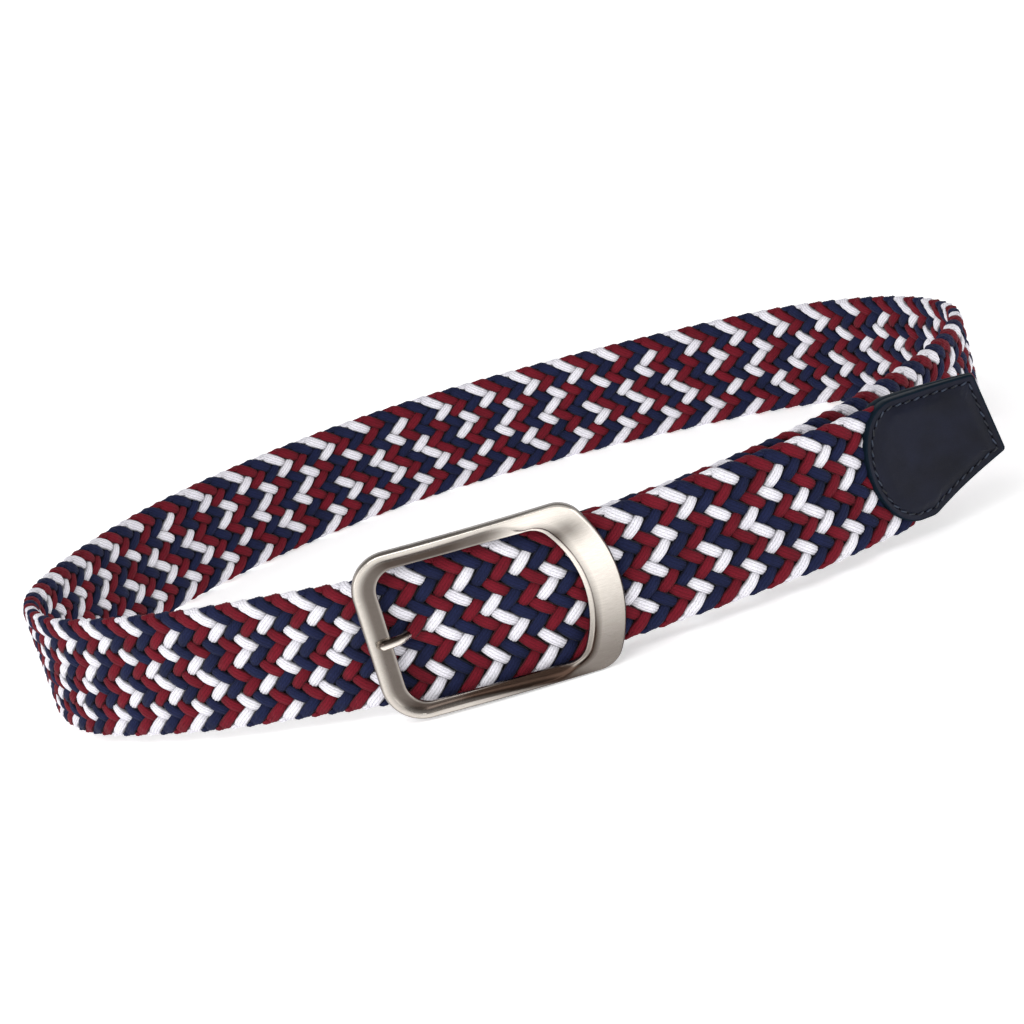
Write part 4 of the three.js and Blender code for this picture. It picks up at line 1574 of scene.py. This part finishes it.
@dataclass
class LeatherTip:
    """Two faces of leather sewn over the end of the braid: a round seam, a straight top and a point."""

    strap: Strap
    bulge: float = 12.2
    top_length: float = 23.4
    point_length: float = 27.2
    point_height: float = 13.6
    chamfer_start: float = 4.2
    lower_rise: float = 2.0
    upper_rise: float = 0.8
    thick: float = 6.5
    end_thick: float = 3.4
    spacing: float = 0.55  # of the points of its outline
    inset: float = 2.0  # of the stitches
    groove: float = 0.3  # how deep they lie
    dome: float = 1.0  # how far its padded middle stands over its edge
    middle: tuple[float, float] = (10.5, 19.5)  # what its rings shrink towards
    top_middle: float = 8.0  # where its outline starts and ends, past the seam

    def outline(self) -> tuple[np.ndarray, np.ndarray]:
        """The tip's edge, from the middle of its upper edge round by the point.

        Returns:
            Its points as (past the seam, up) pairs, and the inward normal at each.
        """
        high, low = self.strap.height + self.upper_rise, self.lower_rise
        corners = [
            ((self.top_length, high), 1.3), ((self.point_length, self.point_height), 1.2),
            ((self.chamfer_start, low), 5.0),
        ]
        before = np.array([self.top_middle, high])
        path = [before[None, :]]
        for number, (corner, radius) in enumerate(corners):
            corner_at = np.array(corner)
            after = np.array(corners[number + 1][0]) if number < 2 else np.array([0.0, low])
            leave, go = unit(before - corner_at), unit(after - corner_at)
            half = math.acos(float(np.clip(leave @ go, -1, 1))) / 2
            room = min(radius / math.tan(half), 0.45 * float(np.linalg.norm(after - corner_at)))
            share = np.linspace(0, 1, 9)[:, None]
            a, c = corner_at + leave * room, corner_at + go * room
            path.append((1 - share) ** 2 * a + 2 * share * (1 - share) * corner_at + share**2 * c)
            before = corner_at
        full = (high - low) / 2
        angle = np.linspace(-math.pi / 2, -1.5 * math.pi, 60)
        path.append(np.column_stack([self.bulge * np.cos(angle), high - full + full * np.sin(angle)]))
        raw = np.vstack([*path, [[self.top_middle, high]]])
        run = run_along(raw)
        count = int(run[-1] / self.spacing)
        at = np.linspace(0, run[-1], count, endpoint=False)
        points = np.column_stack([np.interp(at, run, raw[:, i]) for i in (0, 1)])
        ahead = unit(np.roll(points, -1, 0) - np.roll(points, 1, 0))
        normal = np.column_stack([ahead[:, 1], -ahead[:, 0]])
        return points, normal

    def half_thick(self, past: np.ndarray) -> np.ndarray:
        """Half the tip's thickness at its edge, which thins towards the point."""
        thinned = (self.end_thick - self.thick) * smoothstep(past, 2.0, self.top_length)
        return 0.5 * (self.thick + thinned)

    def swell(self, inset: np.ndarray, past: np.ndarray) -> np.ndarray:
        """How far a face stands over its edge: a sunk seam and a padded middle.

        Args:
            inset: distance from the edge.
            past: distance past the round seam.

        Returns:
            Millimetres.
        """
        seam = -self.groove * np.exp(-(((inset - self.inset) / 0.38) ** 2))
        high = self.dome + 0.3 * smoothstep(past, 12.0, 24.0)
        return seam + high * smoothstep(inset, 2.1, 5.2)

    def inset_points(self, inset: float) -> np.ndarray:
        """The outline moved in by a distance.

        Args:
            inset: that distance.

        Returns:
            Its points.
        """
        points, normal = self.outline()
        inward = np.array(self.middle) - points
        return points + inward * (inset / np.sum(inward * normal, -1))[:, None]

    def build(self, leather: bpy.types.Material, edge: bpy.types.Material) -> bpy.types.Object:
        """Builds the tip.

        Args:
            leather: its faces.
            edge: its painted edges.

        Returns:
            The piece.
        """
        points, normal = self.outline()
        inward = np.array(self.middle) - points
        full = np.sum(inward * normal, -1)
        insets = (0.45, 0.9, 1.3, 1.6, 1.8, 2.0, 2.2, 2.4, 2.7, 3.1, 3.6, 4.2, 5.0, 6.0)
        shares = [inset / full for inset in insets]
        for extra in (0.2, 0.4, 0.6, 0.8, 0.94, 0.995):
            shares.append(insets[-1] / full + (1 - insets[-1] / full) * extra)

        def ring(share: np.ndarray, level: Optional[np.ndarray], side: float) -> np.ndarray:
            """The ring at a share of the way in, at a height given or that of the face."""
            flat = points + inward * share[:, None]
            if level is None:
                level = self.half_thick(flat[:, 0]) + self.swell(share * full, flat[:, 0])
            return self.strap.place(self.strap.seam + flat[:, 0], side * level, flat[:, 1])

        edge_half = self.half_thick(points[:, 0])
        corner = ((0.06, 0.22), (0.22, 0.07), (0.5, 0.0))  # (down, in) of a soft corner
        rings = [ring(share, None, Side.OUTER.value) for share in reversed(shares)]
        rings += [ring(far / full, edge_half - down, Side.OUTER.value) for down, far in corner]
        # A fine line where the two leathers meet.
        line = ((Side.OUTER, 0.16, 0.0), (Side.OUTER, 0.0, 0.12), (Side.INNER, 0.16, 0.0))
        rings += [ring(far / full, np.full(len(points), level), side.value) for side, level, far in line]
        rings += [
            ring(far / full, edge_half - down, Side.INNER.value) for down, far in reversed(corner)
        ]
        rings += [ring(share, None, Side.INNER.value) for share in shares]
        # The bands from the last ring of one face to the first of the other are painted.
        face, painted = len(shares) - 1, 2 * len(corner) + 4
        surface = Surface()
        surface.loft(np.array(rings), finish=[0] * face + [1] * painted + [0] * face)
        return surface.build("tip_leather_faces", [leather, edge])

    def stitches(self, finishes: Sequence[bpy.types.Material]) -> bpy.types.Object:
        """Builds the stitches round the tip, on both of its faces.

        Args:
            finishes: the thread and the painted shade of the awl slits.

        Returns:
            The piece.
        """
        path = self.inset_points(self.inset)
        path = np.vstack([path, path[:1]])
        surface = Surface()
        for side in Side:

            def skin(point: np.ndarray, height: float, side: Side = side) -> np.ndarray:
                """A point over the face, in its sunk seam."""
                level = float(self.half_thick(point[0])) - self.groove + height
                return self.strap.place(self.strap.seam + point[0], side.value * level, point[1])

            Stitching().sew(surface, path, skin)
        return surface.build("tip_stitches", finishes)


@dataclass
class Studio:
    """The paper floor, the soft lights and the camera."""

    lens: float = 81.65
    pitch: float = 14.763  # degrees below level
    roll: float = 16.586
    flat_to: float = 5.0  # metres, how far out the paper lies flat
    cove: float = 2.5  # metres, radius of its bend
    wall: float = 3.5  # metres, height of its top
    floor_sides: int = 48
    world: float = 0.46
    eye: tuple[float, float, float] = (-0.00088, -0.67788, 0.19496)
    lights: tuple[tuple[str, tuple[float, float, float], tuple[float, float], float], ...] = field(
        default_factory=lambda: (
            ("light_front", (-0.35, -0.85, 0.85), (0.8, 0.5), 4.6),
            ("light_left", (-1.2, -0.45, 0.5), (0.5, 0.9), 2.9),
            ("light_right", (1.0, -0.75, 0.3), (0.3, 0.5), 0.9),
        )
    )

    def floor(self) -> bpy.types.Object:
        """Lays the paper.

        Returns:
            The floor.
        """
        # A disc that curves up into a wall all round, as a white cove.
        bend = np.linspace(0, math.pi / 2, 10)
        edge, reach, sides = self.flat_to, self.cove, self.floor_sides
        flat = [0.02, 0.6, 1.6, 3.0, 4.4]
        radii = np.concatenate([flat, edge + reach * np.sin(bend), [edge + reach]])
        levels = np.concatenate([np.zeros(len(flat)), reach * (1 - np.cos(bend)), [self.wall]])
        turn = np.linspace(0, 2 * math.pi, sides, endpoint=False)
        points = [(r * math.cos(a), r * math.sin(a), z) for r, z in zip(radii, levels) for a in turn]
        faces = []
        for ring in range(len(radii) - 1):
            near, far = ring * sides, (ring + 1) * sides
            for side in range(sides):
                beside = (side + 1) % sides
                faces.append((near + side, far + side, far + beside, near + beside))
        faces.append(tuple(range(sides)))
        mesh = bpy.data.meshes.new("paper_floor")
        mesh.from_pydata(points, [], faces)
        mesh.shade_smooth()
        mesh.materials.append(PaperSweep().build())
        made = bpy.data.objects.new("paper_floor", mesh)
        bpy.context.scene.collection.objects.link(made)
        return made

    def light(
        self, name: str, at: tuple[float, float, float], size: tuple[float, float], power: float
    ) -> None:
        """Hangs one soft light that looks at the belt's origin.

        Args:
            name: its name.
            at: its place in metres.
            size: its width and height.
            power: its power in watts.
        """
        data = bpy.data.lights.new(name, "AREA")
        data.shape, data.size, data.size_y, data.energy = "RECTANGLE", size[0], size[1], power
        made = bpy.data.objects.new(name, data)
        made.location = at
        made.rotation_euler = made.location.to_track_quat("Z", "Y").to_euler()
        bpy.context.scene.collection.objects.link(made)

    def build(self) -> None:
        """Builds the studio and points the camera."""
        scene = bpy.context.scene
        scene.view_settings.view_transform = "Standard"
        self.floor()
        for light in self.lights:
            self.light(*light)
        world = bpy.data.worlds.new("soft white room")
        world.use_nodes = True
        world.node_tree.nodes.clear()
        inputs = {"Color": linear(WHITE), "Strength": self.world}
        glow = add_node(world.node_tree, "ShaderNodeBackground", {}, inputs)
        add_node(world.node_tree, "ShaderNodeOutputWorld", {}, {"Surface": glow.outputs[0]})
        scene.world = world
        data = bpy.data.cameras.new("camera")
        data.sensor_width, data.lens = 36.0, self.lens
        data.clip_start, data.clip_end = 0.01, 50.0
        camera = bpy.data.objects.new("camera", data)
        turn = Matrix.Rotation(math.radians(90 - self.pitch), 4, "X") @ Matrix.Rotation(
            math.radians(-self.roll), 4, "Z"
        )
        camera.matrix_world = Matrix.Translation(self.eye) @ turn
        scene.collection.objects.link(camera)
        scene.camera = camera


def settle(pieces: Sequence[bpy.types.Object], node: str, slot: Slot) -> None:
    """Binds pieces to the frame and reports them.

    Args:
        pieces: the pieces.
        node: the CAD node that they stand for.
        slot: the slot that their finish comes from; not used.
    """
    for piece in pieces:
        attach(piece, "root")
        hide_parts(node)
        LOG.info("%s: %d faces, for %s", piece.name, len(piece.data.polygons), node)


def main() -> None:
    """Builds the belt and the studio."""
    logging.basicConfig(level=logging.INFO, format="%(name)s: %(message)s")
    nickel = SatinNickel().build()
    leather = CalfLeather().build()
    thread = [WaxedThread().build(), AWL_HOLE_SHADE.build()]
    strap = Strap()
    prong = Prong(strap)
    settle(Braid(strap, prong).build(), "braided_strap", Slot.BRAID)
    settle(BuckleFrame(strap).build(nickel, prong), "buckle_frame", Slot.NICKEL)
    settle([prong.build(nickel)], "prong", Slot.NICKEL)
    tab = LeatherTab(strap, prong)
    settle([tab.build(leather), tab.stitches(thread)], "buckle_tab", Slot.LEATHER)
    tip = LeatherTip(strap)
    settle([tip.build(leather, EDGE_DYE.build()), tip.stitches(thread)], "tip_leather", Slot.LEATHER)
    Studio().build()


if __name__ == "__main__":
    main()
